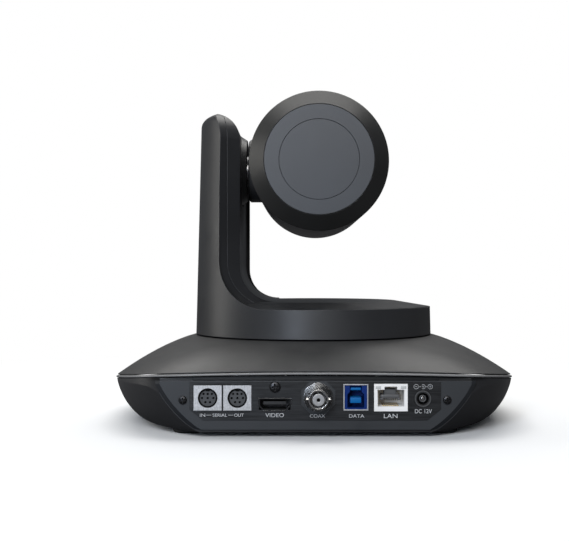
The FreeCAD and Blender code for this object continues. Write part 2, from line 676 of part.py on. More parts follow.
def make_bottom_shell():
    """Bowl with a flat rear wall behind the connector panel."""
    gap = size("seam_gap")
    body = bowl_outer.common(slab(-wide, wall_rear, 0, size("dome_top"), wide))
    hollow = bowl_inner.common(slab(-wide, wall_front, 0, wide, wide))
    body = body.cut(hollow).common(rim_prism(-gap)).common(under_rim(2 * gap + size("rim_bead")))
    lintel = slab(wall_front, wall_rear + gap, size("panel_high") + gap, size("dome_top"),
                  size("board_half_width"))
    body = body.fuse(lintel.common(under_rim(2 * gap + size("rim_bead"))))
    window = slab(wall_front - gap, wall_rear + gap, size("rear_sill"), size("panel_high") - gap,
                  size("board_half_width") + gap)
    feet = [Part.makeCylinder(size("foot_radius") + gap, size("foot_recess"),
                              Vector(x, y, size("base_underside"))) for x, y in foot_places()]
    nut = Part.makeCylinder(size("tripod_radius") + size("running_gap"), size("disc_low"))
    screws = screw_holes(wall_front - gap, wall_rear + gap, size("screw_shank") + size("press_gap"))
    return body.cut([window, window_opening(0), nut] + feet + screws)


def window_opening(gap):
    """Opening for the infrared window in the front of the bowl."""
    return slab(-wide, -size("base_front_depth") / 2, size("window_low") + gap,
                size("window_high") - gap, size("window_half") - gap)


def make_top_shell():
    """Dome above the parting surface with a round opening for the pan shaft."""
    body = dome(0).common(rim_prism(-size("dome_inset"))).cut(dome(size("base_wall")))
    body = body.cut(under_rim(0))
    return body.cut(Part.makeCylinder(size("crown_opening"), size("disc_low")))


def make_rim_trim():
    """Thin bead that stands out under the parting line, all the way round the bowl."""
    gap = size("seam_gap")
    ring = rim_prism(size("bead_reach")).cut(rim_prism(-size("bead_width")))
    return ring.common(under_rim(gap)).cut(under_rim(gap + size("rim_bead")))


def make_panel():
    """Slice of the bowl behind the rear wall, with the socket and screw openings."""
    face = size("panel_rear")
    body = bowl(size("fit_gap")).common(slab(face - size("panel_thick"), face, size("panel_low"),
                                             size("panel_high"), wide))
    sockets = socket_openings(wall_front, face + size("label_thick"), size("fit_gap"))
    screws = screw_holes(wall_front, face + size("label_thick"), size("screw_shank") + size("fit_gap"))
    return body.cut(sockets + screws)


def make_label():
    """Thin plate on the panel with slanted lower corners and an eight-sided opening."""
    left, right = size("label_left"), -size("label_right")
    low, high = size("label_low"), size("label_high")
    corner, shoulder = size("label_corner"), low + size("label_corner_tall")
    face, thick = size("panel_rear") + size("press_gap"), size("label_thick")
    outline = [(left, high), (left, shoulder), (left - corner, low), (right + corner, low),
               (right, shoulder), (right, high)]
    points = [Vector(x, face, z) for x, z in outline]
    plate = Part.Face(Part.makePolygon(points + points[:1])).extrude(Vector(0, thick, 0))
    radius = size("coax_window") / math.cos(math.pi / 8)
    turns = [math.pi * (k + 0.5) / 4 for k in range(8)]
    corners = [Vector(size("coax_x") + radius * math.cos(turn), face - thick,
                      size("coax_z") + radius * math.sin(turn)) for turn in turns]
    eight = Part.Face(Part.makePolygon(corners + corners[:1])).extrude(Vector(0, 3 * thick, 0))
    sockets = socket_openings(face - thick, face + 2 * thick, size("fit_gap"))
    screws = screw_holes(face - thick, face + 2 * thick, size("screw_head") + size("fit_gap"))
    return plate.cut([eight] + sockets + screws)


keep("base_bottom_shell", shaped("bottom_shell", make_bottom_shell()))
keep("base_top_shell", shaped("top_shell", make_top_shell()))
keep("rim_trim", shaped("rim_bead_ring", make_rim_trim()))
keep("rear_panel", shaped("panel_plate", make_panel()))
keep("panel_label", shaped("label_plate", make_label()))
keep("infrared_window", shaped("window_slice", bowl_outer.cut(bowl_inner).common(
    window_opening(size("fit_gap")))))

# ---------------------------------------------------------------- sockets

mouth = "panel_rear + socket_reach"

din_holes = [(x, y, "din_pin_bore") for y, row in (
    ("din_top_row", ("-din_top_pitch", "0", "din_top_pitch")),
    ("-din_middle_row", ("-din_middle_pitch", "0", "din_middle_pitch")),
    ("-din_low_row", ("-din_low_pitch/2", "din_low_pitch/2"))) for x in row]
for which in ("in", "out"):
    spot = ("din_%s_x" % which, mouth, "din_z")
    keep("din_jack_shell_" + which, milled(
        "din_shell_" + which, rectangle("din_width", "din_height"), "din_depth", spot, "-Y",
        pockets=[([("0", "0", "din_bore")], "din_depth - socket_floor")]))
    spot = ("din_%s_x" % which, mouth + " - din_set_back", "din_z")
    keep("din_jack_insert_" + which, milled(
        "din_insert_" + which, ("0", "0", "din_bore - running_gap"),
        "din_depth - din_set_back - 2*socket_floor", spot, "-Y",
        pockets=[(din_holes, "din_pin_deep")]))


def tapered(width, height, slant):
    """Outline of the video socket: a rectangle whose lower corners slant."""
    return [("-%s/2 + %s" % (width, slant), "-%s/2" % height),
            ("%s/2 - %s" % (width, slant), "-%s/2" % height),
            ("%s/2" % width, "-%s/2 + %s" % (height, slant)),
            ("%s/2" % width, "%s/2" % height),
            ("-%s/2" % width, "%s/2" % height),
            ("-%s/2" % width, "-%s/2 + %s" % (height, slant))]


spot = ("video_x", mouth, "video_z")
video_mouth = tapered("(video_width - 2*video_wall)", "(video_height - 2*video_wall)", "video_taper")
keep("video_jack_shell", milled(
    "video_shell", tapered("video_width", "video_height", "video_taper"), "video_depth", spot, "-Y",
    pockets=[([video_mouth], "video_depth - socket_floor")]))
keep("video_jack_tongue", milled(
    "video_tongue", rectangle("video_tongue_width", "video_tongue_tall", y="video_tongue_rise"),
    "video_depth - video_tongue_back - socket_floor",
    ("video_x", mouth + " - video_tongue_back", "video_z"), "-Y"))

spot = ("usb_x", mouth, "usb_z")
inner_width, inner_height = "(usb_width - 2*usb_wall)", "(usb_height - 2*usb_wall)"
keep("data_jack_shell", milled(
    "data_shell", rectangle("usb_width", "usb_height"), "usb_depth", spot, "-Y",
    pockets=[([rectangle(inner_width, inner_height)], "usb_depth - socket_floor")]))
usb_mouth = [("-usb_mouth_half", "-usb_mouth_low"), ("usb_mouth_half", "-usb_mouth_low"),
             ("usb_mouth_half", "usb_shoulder"), ("usb_neck_half", "usb_neck_low"),
             ("usb_neck_half", "usb_neck_high"), ("-usb_neck_half", "usb_neck_high"),
             ("-usb_neck_half", "usb_neck_low"), ("-usb_mouth_half", "usb_shoulder")]
usb_body = milled("data_insert_body", rectangle(inner_width + " - fit_gap",
                                               inner_height + " - fit_gap"),
                  "usb_depth - usb_insert_back - 2*socket_floor",
                  ("usb_x", mouth + " - usb_insert_back", "usb_z"), "-Y",
                  pockets=[([usb_mouth], "usb_mouth_deep")])
usb_root = mouth + " - usb_insert_back - usb_mouth_deep - socket_floor"
usb_long = "usb_mouth_deep + socket_floor - usb_tongue_back"
usb_tongue = block("data_tongue", ("usb_tongue_width", usb_long, "usb_tongue_tall"),
                   ("usb_x - usb_tongue_width/2", usb_root, "usb_z - usb_tongue_low"))
usb_tab = block("data_tab", ("usb_tab_width", usb_long, "usb_tab_tall"),
                ("usb_x - usb_tab_width/2", usb_root, "usb_z + usb_tab_low"))
keep("data_jack_insert", group("data_insert", [usb_body, usb_tongue, usb_tab]))

spot = ("lan_x", mouth, "lan_z")
lan_side, lan_side_notch = "lan_mouth_width/2", "lan_notch_width/2"
lan_ceiling = "lan_mouth_height - lan_mouth_low"
lan_notch = lan_ceiling + " + lan_notch_tall"
lan_mouth = [("-" + lan_side, "-lan_mouth_low"), (lan_side, "-lan_mouth_low"),
             (lan_side, lan_ceiling), (lan_side_notch, lan_ceiling), (lan_side_notch, lan_notch),
             ("-" + lan_side_notch, lan_notch), ("-" + lan_side_notch, lan_ceiling),
             ("-" + lan_side, lan_ceiling)]
keep("lan_jack_body", milled("lan_body", rectangle("lan_width", "lan_height"), "lan_depth", spot,
                             "-Y", pockets=[([lan_mouth], "lan_mouth_depth")]))
LAN_CONTACTS = 8
contacts = [block("lan_contact_%d" % k,
                  ("lan_contact_width", "lan_contact_long", "lan_contact_tall"),
                  ("lan_x + lan_pitch*(%d)/2 - lan_contact_width/2" % (2 * k + 1 - LAN_CONTACTS),
                   mouth + " - lan_mouth_depth", "lan_z - lan_mouth_low + press_gap"))
            for k in range(LAN_CONTACTS)]
keep("lan_jack_contacts", group("lan_contacts", contacts))

coax_tip = ("coax_x", "panel_rear + coax_reach", "coax_z")
coax_deep = "coax_reach - coax_floor"
coax_barrel = milled("coax_barrel", ("0", "0", "coax_radius"), "coax_reach + coax_tail", coax_tip,
                     "-Y", pockets=[([("0", "0", "coax_bore")], coax_deep)])
coax_lugs = cylinder("coax_lugs", "coax_lug", "2*(coax_radius + coax_lug_reach)",
                     ("coax_x - coax_radius - coax_lug_reach",
                      "panel_rear + coax_reach - coax_lug_back", "coax_z"), "X")
coax_clear = cylinder("coax_clear", "coax_bore", coax_deep, coax_tip, "-Y")
keep("coax_jack_body", cut("coax_body", group("coax_outside", [coax_barrel, coax_lugs]),
                           [coax_clear]))
coax_flange = coax_deep + " - coax_floor"
coax_root = coax_deep + " - running_gap"
keep("coax_jack_insulator", turned(
    "coax_insulator", [("coax_pin + running_gap", "0"), ("coax_core", "0"),
                       ("coax_core", coax_flange), ("coax_bore - fit_gap", coax_flange),
                       ("coax_bore - fit_gap", coax_root), ("coax_pin + running_gap", coax_root)],
    coax_tip, "-Y"))
keep("coax_jack_contact", turned(
    "coax_contact", [("coax_pin_bore", "seam_gap"), ("coax_pin", "seam_gap"), ("coax_pin", coax_root),
                     ("0", coax_root), ("0", "coax_pin_deep"), ("coax_pin_bore", "coax_pin_deep")],
    coax_tip, "-Y"))
nut_corners = [("coax_nut * cos(%d)" % angle, "coax_nut * sin(%d)" % angle)
               for angle in range(0, 360, 60)]
keep("coax_jack_nut", milled("coax_ring_nut", nut_corners, "coax_nut_thick",
                             ("coax_x", "panel_rear + coax_nut_thick + running_gap", "coax_z"), "-Y",
                             windows=[("0", "0", "coax_radius + running_gap")]))

keep("power_jack_body", milled(
    "power_body", ("0", "0", "dc_radius"), "dc_depth", ("dc_x", mouth, "dc_z"), "-Y",
    pockets=[([("0", "0", "dc_bore")], "dc_depth - socket_floor")]))
keep("power_jack_pin", turned("power_pin", [
    ("0", "socket_floor"), ("dc_pin - seam_gap", "socket_floor"),
    ("dc_pin", "socket_floor + seam_gap"), ("dc_pin", "dc_depth - socket_floor - running_gap"),
    ("0", "dc_depth - socket_floor - running_gap")], ("dc_x", mouth, "dc_z"), "-Y"))

screws = []
for number, (x, z, head) in enumerate(PANEL_SCREWS):
    screws.append(turned("panel_screw_%d" % number, [
        ("0", "screw_drive"), ("screw_drive", "screw_drive"), ("screw_drive", "0"),
        (head + " - screw_round", "0"), (head, "screw_round"),
        (head, "screw_head_tall"), ("screw_shank", "screw_head_tall"),
        ("screw_shank", "screw_long"), ("0", "screw_long")],
        (x, "panel_rear + screw_head_tall + running_gap", z), "-Y"))
keep("panel_screws", group("panel_screw_set", screws))

# ---------------------------------------------------------------- feet, nut, boards, posts

feet = []
for number, (x_sign, y_text) in enumerate([("", "foot_rear"), ("-", "foot_rear"),
                                           ("", "-foot_front"), ("-", "-foot_front")]):
    feet.append(turned("foot_%d" % number, [
        ("0", "0"), ("foot_radius - foot_edge", "0"), ("foot_radius", "foot_edge"),
        ("foot_radius", "base_underside + foot_recess - running_gap"),
        ("0", "base_underside + foot_recess - running_gap")], (x_sign + "foot_x", y_text, "0")))
keep("rubber_feet", group("foot_set", feet))

keep("tripod_nut", turned("tripod_nut_body", [
    ("tripod_bore", "0"), ("tripod_radius", "0"), ("tripod_radius", "tripod_length"),
    ("tripod_bore", "tripod_length")], ("0", "0", "base_underside - tripod_drop")))

floor = "base_underside + base_wall"
floor_drop = "base_underside - base_wall"
posts = [cylinder("post_%s%s" % (x_sign, y_text), "post_radius", "bearing_plate_low - " + floor_drop,
                  (x_sign + "post_x", y_text, floor))
         for x_sign in ("", "-") for y_text in ("-post_front", "post_rear")]
keep("plate_posts", group("post_set", posts))
standoffs = [cylinder("standoff_%s%s" % (x_sign, y_text), "standoff_radius",
                      "board_height - " + floor_drop, (x_sign + "standoff_x", y_text, floor))
             for x_sign in ("", "-") for y_text in ("standoff_front", "standoff_rear")]
keep("board_standoffs", group("standoff_set", standoffs))
keep("main_board", block("main_board_plate",
                         ("2*board_half_width", "board_rear - board_front", "board_thick"),
                         ("-board_half_width", "board_front", "board_height")))
keep("processor_heat_sink", milled(
    "heat_sink", rectangle("heat_sink_width", "heat_sink_deep"), "heat_sink_tall",
    ("0", "heat_sink_y", "board_height + board_thick"),
    windows=[rectangle("fin_gap", "fin_gap_long", "fin_pitch*(%d)" % k) for k in range(-3, 4)]))

# ---------------------------------------------------------------- pan drive in the base

plate_corners = [("plate_half", "plate_rear"), ("-plate_half", "plate_rear"),
                 ("-plate_half", "-plate_front"), ("-plate_nose", "-plate_nose_front"),
                 ("plate_nose", "-plate_nose_front"), ("plate_half", "-plate_front")]
keep("bearing_plate", milled(
    "bearing_plate_body", plate_corners, "bearing_plate_thick", ("0", "0", "bearing_plate_low"),
    windows=[("0", "0", "pan_bearing_radius + press_gap"), ("0", "-pan_motor_reach", "motor_hole")]))
keep("pan_bearing", turned("pan_bearing_body", [
    ("pan_shaft_radius + running_gap", "0"), ("pan_bearing_radius", "0"),
    ("pan_bearing_radius", "pan_bearing_tall"),
    ("pan_shaft_radius + running_gap", "pan_bearing_tall")], ("0", "0", "pan_bearing_low")))
keep("pan_motor", turned("pan_motor_can", [
    ("motor_shaft + running_gap", "pan_motor_long"), ("motor_shaft + running_gap", "motor_floor"),
    ("0", "motor_floor"), ("0", "0"), ("pan_motor_radius - motor_bevel", "0"),
    ("pan_motor_radius", "motor_bevel"), ("pan_motor_radius", "pan_motor_long")],
    ("0", "-pan_motor_reach", "bearing_plate_low - pan_motor_long")))
keep("pan_pinion", turned("pan_pinion_body", [
    ("0", "bearing_plate_low - motor_shaft_sunk"),
    ("motor_shaft", "bearing_plate_low - motor_shaft_sunk"),
    ("motor_shaft", "pan_pulley_low"), ("pinion_radius", "pan_pulley_low"),
    ("pinion_radius", "pan_pulley_low + pulley_width"), ("0", "pan_pulley_low + pulley_width")],
    ("0", "-pan_motor_reach", "0")))


def belt_loop(big, small, distance, gap, thick, width):
    """Open belt round two pulleys on the piece's own Z, the small one at +X: each side of the
    loop is the outline of two circles and their common tangents."""
    def outline(extra):
        large, little = big + extra, small + extra
        lean = math.acos((large - little) / distance)
        corners = []
        for centre, radius, angle in ((0, large, lean), (distance, little, lean),
                                      (distance, little, -lean), (0, large, -lean)):
            corners.append(Vector(centre + radius * math.cos(angle), radius * math.sin(angle), 0))
        edges = [Part.makeLine(corners[0], corners[1]),
                 Part.Arc(corners[1], Vector(distance + little, 0, 0), corners[2]).toShape(),
                 Part.makeLine(corners[2], corners[3]),
                 Part.Arc(corners[3], Vector(-large, 0, 0), corners[0]).toShape()]
        return Part.Face(Part.Wire(edges))
    return outline(gap + thick).cut(outline(gap)).extrude(Vector(0, 0, width))


pan_belt = shaped("pan_belt_loop", belt_loop(
    size("pan_pulley_radius"), size("pinion_radius"), size("pan_motor_reach"), size("belt_gap"),
    size("belt_thick"), size("belt_width")))
belt_margin = (size("pulley_width") - size("belt_width")) / 2
pan_belt.Placement = Placement(Vector(0, 0, size("pan_pulley_low") + belt_margin),
                               Rotation(Vector(0, 0, 1), -90))
keep("pan_belt", pan_belt)

# ---------------------------------------------------------------- yoke housing surfaces

def arm_outline(face, floor, elbow, y, inset):
    """Closed outline in the plane Y = y: a foot, the hollow elbow, the inner face, the rounded
    crest and the back, which reaches past the outer surface."""
    top, crest = size("yoke_top") - inset, size("arm_crest") - inset / 2
    low, back = size("disc_low") - 2, size("disc_radius") + 8
    start, face, floor, elbow = face - elbow, face + inset, floor - inset, elbow + inset
    root = face - elbow
    bend = math.sqrt(0.5)
    corners = [Vector(root, y, low), Vector(root, y, floor), Vector(face, y, floor + elbow),
               Vector(face, y, top - crest), Vector(face + crest, y, top), Vector(back, y, top),
               Vector(back, y, low)]
    hollow = Vector(root + elbow * bend, y, floor + elbow * (1 - bend))
    round_top = Vector(face + crest * (1 - bend), y, top - crest * (1 - bend))
    edges = [Part.makeLine(corners[0], corners[1]),
             Part.Arc(corners[1], hollow, corners[2]).toShape(),
             Part.makeLine(corners[2], corners[3]),
             Part.Arc(corners[3], round_top, corners[4]).toShape(),
             Part.makeLine(corners[4], corners[5]),
             Part.makeLine(corners[5], corners[6]),
             Part.makeLine(corners[6], corners[0])]
    return Part.Wire(edges)


def yoke_body(inset):
    """Solid inside the yoke's surface, moved inwards by inset: a tapered round disc and an arm
    that rises from it through a hollow elbow."""
    top, crest = size("yoke_top") - inset, size("yoke_crest")
    foot_radius, top_radius = size("disc_radius") - inset, size("yoke_top_radius") - inset
    low = size("disc_low") - (1 if inset else 0)
    # tapered round envelope with a rounded top edge
    bend = math.sqrt(0.5)
    middle = Vector(top_radius - crest * (1 - bend), 0, top - crest * (1 - bend))
    shoulder = Vector(top_radius, 0, top - crest)
    edges = [Part.makeLine(Vector(0, 0, low), Vector(foot_radius, 0, low)),
             Part.makeLine(Vector(foot_radius, 0, low), shoulder),
             Part.Arc(shoulder, middle, Vector(top_radius - crest, 0, top)).toShape(),
             Part.makeLine(Vector(top_radius - crest, 0, top), Vector(0, 0, top)),
             Part.makeLine(Vector(0, 0, top), Vector(0, 0, low))]
    envelope = Part.Face(Part.Wire(edges)).revolve(Vector(), Vector(0, 0, 1), 360)
    # pan disc with a shallow conical crown, wider than the envelope that trims it
    rim, plateau = size("disc_rim") - inset, size("disc_plateau") - inset
    taper = (foot_radius - top_radius) / (top - crest - low)
    rim_radius = foot_radius - taper * (rim - low)
    beyond = 2 * size("disc_radius")
    fall = (plateau - rim) / (rim_radius - size("plateau_radius"))
    ring = [Vector(0, 0, low - 5), Vector(beyond, 0, low - 5),
            Vector(beyond, 0, rim - fall * (beyond - rim_radius)),
            Vector(size("plateau_radius"), 0, plateau), Vector(0, 0, plateau)]
    disc = Part.Face(Part.makePolygon(ring + ring[:1])).revolve(Vector(), Vector(0, 0, 1), 360)
    # arm: sections from rear to front, the last ones forming the lip
    face, edge, lip = size("arm_face"), size("arm_edge"), size("arm_lip")
    front, far = size("arm_face_front"), size("disc_radius")
    floor, rim_floor = size("disc_plateau"), size("disc_rim")
    elbow, wide_elbow = size("elbow_face"), size("elbow_edge")
    shift = inset * 0.6
    stations = [(edge, rim_floor, wide_elbow, far), (edge, rim_floor, wide_elbow,
                size("arm_edge_rear") - shift), (face, floor, elbow, size("arm_face_rear") - shift),
                (face, floor, elbow, -front)]
    if inset == 0:
        raised = (face - lip, floor, elbow - lip)
        stations += [raised + (-front - 1,), raised + (-front - size("arm_lip_width"),)]
    stations += [(face, floor, elbow, -front - size("arm_lip_width") - 1),
                 (face, floor, elbow, -far)]
    wires = [arm_outline(x, z, r, y, inset) for x, z, r, y in stations]
    arm = Part.makeLoft(wires, True, True)
    # limits seen from the side, with a round front corner
    rear, ahead = size("arm_side_rear") - shift, -size("arm_side_front") + shift
    corner, step, reach = size("arm_corner"), size("arm_side_low"), size("disc_radius") + 8
    def at(y, z):
        return Vector(-reach, y, z)
    front_round = at(ahead + corner * (1 - bend), top - corner * (1 - bend))
    path = [at(-reach, low - 5), at(reach, low - 5), at(reach, step), at(rear, step), at(rear, top),
            at(ahead + corner, top)]
    side = [Part.makeLine(a, b) for a, b in zip(path, path[1:])]
    side.append(Part.Arc(at(ahead + corner, top), front_round, at(ahead, top - corner)).toShape())
    path = [at(ahead, top - corner), at(ahead, step), at(-reach, step), at(-reach, low - 5)]
    side += [Part.makeLine(a, b) for a, b in zip(path, path[1:])]
    limits = Part.Face(Part.Wire(side)).extrude(Vector(2 * reach, 0, 0))
    # rear corner, rounded along the rear strip
    run = Vector(face - edge, size("arm_face_rear") - size("arm_edge_rear"), 0).normalize() * reach
    start = Vector(edge + inset, size("arm_edge_rear") - shift, top) - run
    turn = corner - inset
    centre = start - Vector(0, 0.994 * turn, 0.994 * turn)
    above, behind = Vector(0, 0, turn), Vector(0, turn, 0)
    outer = [centre + above, centre + 2 * above, centre + 2 * above + 2 * behind,
             centre + 2 * behind, centre + behind]
    corner_edges = [Part.makeLine(a, b) for a, b in zip(outer, outer[1:])]
    corner_edges.append(Part.Arc(outer[-1], centre + (above + behind) * bend, outer[0]).toShape())
    rounding = Part.Face(Part.Wire(corner_edges)).extrude(2 * run)
    return arm.common(limits).cut(rounding).fuse(disc).common(envelope)


def cover_region(gap):
    """Space that belongs to the inner cover: an upright cylinder with a rounded foot."""
    radius = size("cover_radius") - gap
    centre = Vector(size("cover_outer_x") - size("cover_radius"), 0, size("disc_rim") + gap)
    post = Part.makeCylinder(radius, 2 * size("yoke_top"), centre)
    foot = [edge for edge in post.Edges if edge.BoundBox.ZMax < centre.z + 1 and edge.Closed]
    return post.makeFillet(size("cover_elbow"), foot)


yoke_skin = yoke_body(0).cut(yoke_body(size("yoke_wall")))
axis_z = Vector(0, 0, size("tilt_height"))
boss_hole = Part.makeCylinder(size("boss_root") + size("fit_gap"), size("cover_outer_x"),
                              axis_z, Vector(1, 0, 0))
keep("yoke_outer_shell", shaped("yoke_outside", yoke_skin.cut(cover_region(0))))
keep("yoke_inner_cover", shaped("yoke_inside",
                                yoke_skin.common(cover_region(size("fit_gap"))).cut(boss_hole)))

# ---------------------------------------------------------------- yoke frame and drives

tilt_spot = ("0", "0", "tilt_height")
keep("tilt_boss", turned("boss", [
    ("tilt_shaft_radius + boss_gap", "arm_face - boss_reach"), ("boss_tip", "arm_face - boss_reach"),
    ("boss_root", "arm_face + boss_skirt"), ("boss_root", "arm_face + boss_base"),
    ("tilt_shaft_radius + boss_gap", "arm_face + boss_base")], tilt_spot, "X"))

frame_disc = cylinder("frame_disc", "frame_radius", "frame_thick", ("0", "0", "frame_low"))
upright = block("frame_upright", ("upright_thick", "2*upright_half", "upright_top - frame_low"),
                ("upright_face", "-upright_half", "frame_low"))
frame_bore = cylinder("frame_bore", "tilt_bearing_radius + press_gap", "upright_thick",
                      ("upright_face", "0", "tilt_height"), "X")
frame_cable = cylinder("frame_cable_hole", "pan_shaft_bore", "frame_thick", ("0", "0", "frame_low"))
frame_motor = cylinder("frame_motor_hole", "motor_hole", "upright_thick",
                       ("upright_face", "0", "tilt_motor_height"), "X")
keep("yoke_frame", cut("frame", group("frame_solid", [frame_disc, upright]),
                       [frame_bore, frame_cable, frame_motor]))
keep("pan_shaft", turned("pan_shaft_tube", [
    ("pan_shaft_bore", "pan_shaft_low"), ("pan_shaft_radius", "pan_shaft_low"),
    ("pan_shaft_radius", "frame_low - pan_flange_thick"),
    ("pan_flange", "frame_low - pan_flange_thick"), ("pan_flange", "frame_low - press_gap"),
    ("pan_shaft_bore", "frame_low - press_gap")]))
keep("pan_pulley", turned("pan_pulley_body", [
    ("pan_shaft_radius + press_gap", "0"), ("pan_pulley_radius", "0"),
    ("pan_pulley_radius", "pulley_width"), ("pan_pulley_radius - pulley_rim", "pulley_width"),
    ("pan_pulley_radius - pulley_rim", "pulley_web"),
    ("pan_shaft_radius + pulley_hub", "pulley_web"),
    ("pan_shaft_radius + pulley_hub", "pulley_width"),
    ("pan_shaft_radius + press_gap", "pulley_width")],
    ("0", "0", "pan_pulley_low")))
keep("tilt_bearing", turned("tilt_bearing_body", [
    ("tilt_shaft_radius + running_gap", "tilt_bearing_face"),
    ("tilt_bearing_radius", "tilt_bearing_face"),
    ("tilt_bearing_radius", "tilt_bearing_face + tilt_bearing_wide"),
    ("tilt_shaft_radius + running_gap", "tilt_bearing_face + tilt_bearing_wide")], tilt_spot, "X"))
keep("tilt_motor", turned("tilt_motor_can", [
    ("motor_shaft + running_gap", "tilt_motor_long"), ("motor_shaft + running_gap", "motor_floor"),
    ("0", "motor_floor"), ("0", "0"), ("tilt_motor_radius - motor_bevel", "0"),
    ("tilt_motor_radius", "motor_bevel"), ("tilt_motor_radius", "tilt_motor_long")],
    ("upright_face - tilt_motor_long", "0", "tilt_motor_height"), "X"))
keep("tilt_pinion", turned("tilt_pinion_body", [
    ("0", "upright_face - tilt_shaft_sunk"), ("motor_shaft", "upright_face - tilt_shaft_sunk"),
    ("motor_shaft", "tilt_pulley_face"), ("pinion_radius", "tilt_pulley_face"),
    ("pinion_radius", "tilt_pulley_face + pulley_width"), ("0", "tilt_pulley_face + pulley_width")],
    ("0", "0", "tilt_motor_height"), "X"))
tilt_belt = shaped("tilt_belt_loop", belt_loop(
    size("tilt_pulley_radius"), size("pinion_radius"),
    size("tilt_height") - size("tilt_motor_height"), size("belt_gap"), size("belt_thick"),
    size("belt_width")))
tilt_belt.Placement = Placement(Vector(size("tilt_pulley_face") + belt_margin, 0,
                                       size("tilt_height")), TURNS["X"])
keep("tilt_belt", tilt_belt)

# ---------------------------------------------------------------- camera head

keep("tilt_shaft", turned("tilt_shaft_tube", [
    ("tilt_shaft_bore", "tilt_shaft_inner"), ("tilt_shaft_radius", "tilt_shaft_inner"),
    ("tilt_shaft_radius", "tilt_shaft_outer"), ("tilt_shaft_bore", "tilt_shaft_outer")],
    tilt_spot, "X"))
keep("tilt_pulley", turned("tilt_pulley_body", [
    ("tilt_shaft_radius + press_gap", "0"), ("tilt_pulley_radius", "0"),
    ("tilt_pulley_radius", "pulley_width"),
    ("tilt_pulley_radius - pulley_web", "pulley_width"),
    ("tilt_pulley_radius - pulley_web", "pulley_web"),
    ("tilt_shaft_radius + pulley_hub", "pulley_web"),
    ("tilt_shaft_radius + pulley_hub", "pulley_width"),
    ("tilt_shaft_radius + press_gap", "pulley_width")],
    ("tilt_pulley_face", "0", "tilt_height"), "X"))
keep("tilt_hub", turned("hub", [
    ("tilt_shaft_radius + press_gap", "hub_inner"), ("hub_radius", "hub_inner"),
    ("hub_radius", "hub_face - hub_bevel"), ("hub_radius - hub_bevel", "hub_face"),
    ("tilt_shaft_radius + press_gap", "hub_face")], tilt_spot, "X"))

barrel_spot = ("barrel_x", "-barrel_front + bezel_width", "tilt_height")
straight = "(barrel_rear + barrel_front - bezel_width)"
barrel_tube = turned("barrel_tube", [
    ("barrel_radius - barrel_wall", "0"), ("barrel_radius", "0"), ("barrel_radius", straight),
    ("barrel_radius - barrel_wall", straight)], barrel_spot, "Y")
hub_clear = cylinder("hub_clear", "hub_radius + running_gap", "barrel_radius",
                     ("hub_inner/2", "0", "tilt_height"), "X")
keep("barrel_shell", cut("barrel", barrel_tube, [hub_clear]))

rear_spot = ("barrel_x", "barrel_rear", "tilt_height")
inner = "barrel_radius - barrel_wall - fit_gap"
cap_tall = "cap_rear - barrel_rear"
keep("rear_cap", turned("cap_ring", [
    ("barrel_radius", "press_gap"), ("cap_flat + cap_groove", cap_tall),
    ("cap_flat + cap_groove", "cap_ledge"), ("cap_flat - cap_lip", "cap_ledge"),
    ("cap_flat - cap_lip", "cap_floor"), (inner + " - cap_spigot", "-cap_spigot"),
    (inner, "-cap_spigot"), (inner, "press_gap")], rear_spot, "Y"))
badge_seat = cap_tall + " - badge_thick - press_gap"
keep("rear_cap_disc", turned("cap_disc", [
    ("0", "cap_ledge + running_gap"), ("cap_flat", "cap_ledge + running_gap"),
    ("cap_flat", cap_tall), ("badge_radius + cap_groove", cap_tall),
    ("badge_radius + cap_groove", badge_seat), ("0", badge_seat)], rear_spot, "Y"))
keep("rear_cap_badge", turned("cap_badge", [
    ("0", "-badge_thick"), ("badge_radius", "-badge_thick"), ("badge_radius", "0"), ("0", "0")],
    ("barrel_x", "cap_rear", "tilt_height"), "Y"))

front_spot = ("barrel_x", "-barrel_front", "tilt_height")
ledge = "bezel_ledge + running_gap"
keep("front_bezel", turned("bezel", [
    ("window_radius - window_edge", "bezel_face"), ("window_radius - window_edge + bezel_face", "0"),
    ("barrel_radius - bezel_round", "0"), ("barrel_radius", "bezel_round"),
    ("barrel_radius", "bezel_width - press_gap"), (inner, "bezel_width - press_gap"),
    (inner, "bezel_width + cap_spigot"), (inner + " - bezel_wall", "bezel_width + cap_spigot"),
    (inner + " - bezel_wall", "bezel_ledge"), ("window_radius - window_edge", "bezel_ledge")],
    front_spot, "Y"))
keep("front_window", turned("window_disc", [
    ("0", ledge), ("window_radius", ledge), ("window_radius", ledge + " + window_thick"),
    ("0", ledge + " + window_thick")], front_spot, "Y"))

lens_spot = ("barrel_x", "-lens_front", "tilt_height")
lens_long = "(lens_front - lens_back)"
keep("lens_barrel", turned("lens_tube", [
    ("lens_radius - lens_wall", "0"), ("lens_radius", "0"), ("lens_radius", lens_long),
    ("lens_opening", lens_long), ("lens_opening", lens_long + " - lens_floor"),
    ("lens_radius - lens_wall", lens_long + " - lens_floor")], lens_spot, "Y"))


def bulged_lens(radius):
    """Lens with a flat back: its front face, at height 0 in the middle, is one arc that falls back
    by the crown at its edge."""
    crown, back = size("glass_crown"), size("glass_crown") + size("glass_edge")
    sphere = (radius ** 2 + crown ** 2) / (2 * crown)
    middle = Vector(radius / 2, 0, sphere - math.sqrt(sphere ** 2 - radius ** 2 / 4))
    rim, far = Vector(radius, 0, crown), Vector(radius, 0, back)
    edges = [Part.Arc(Vector(), middle, rim).toShape(), Part.makeLine(rim, far),
             Part.makeLine(far, Vector(0, 0, back)), Part.makeLine(Vector(0, 0, back), Vector())]
    return Part.Face(Part.Wire(edges)).revolve(Vector(), Vector(0, 0, 1), 360)


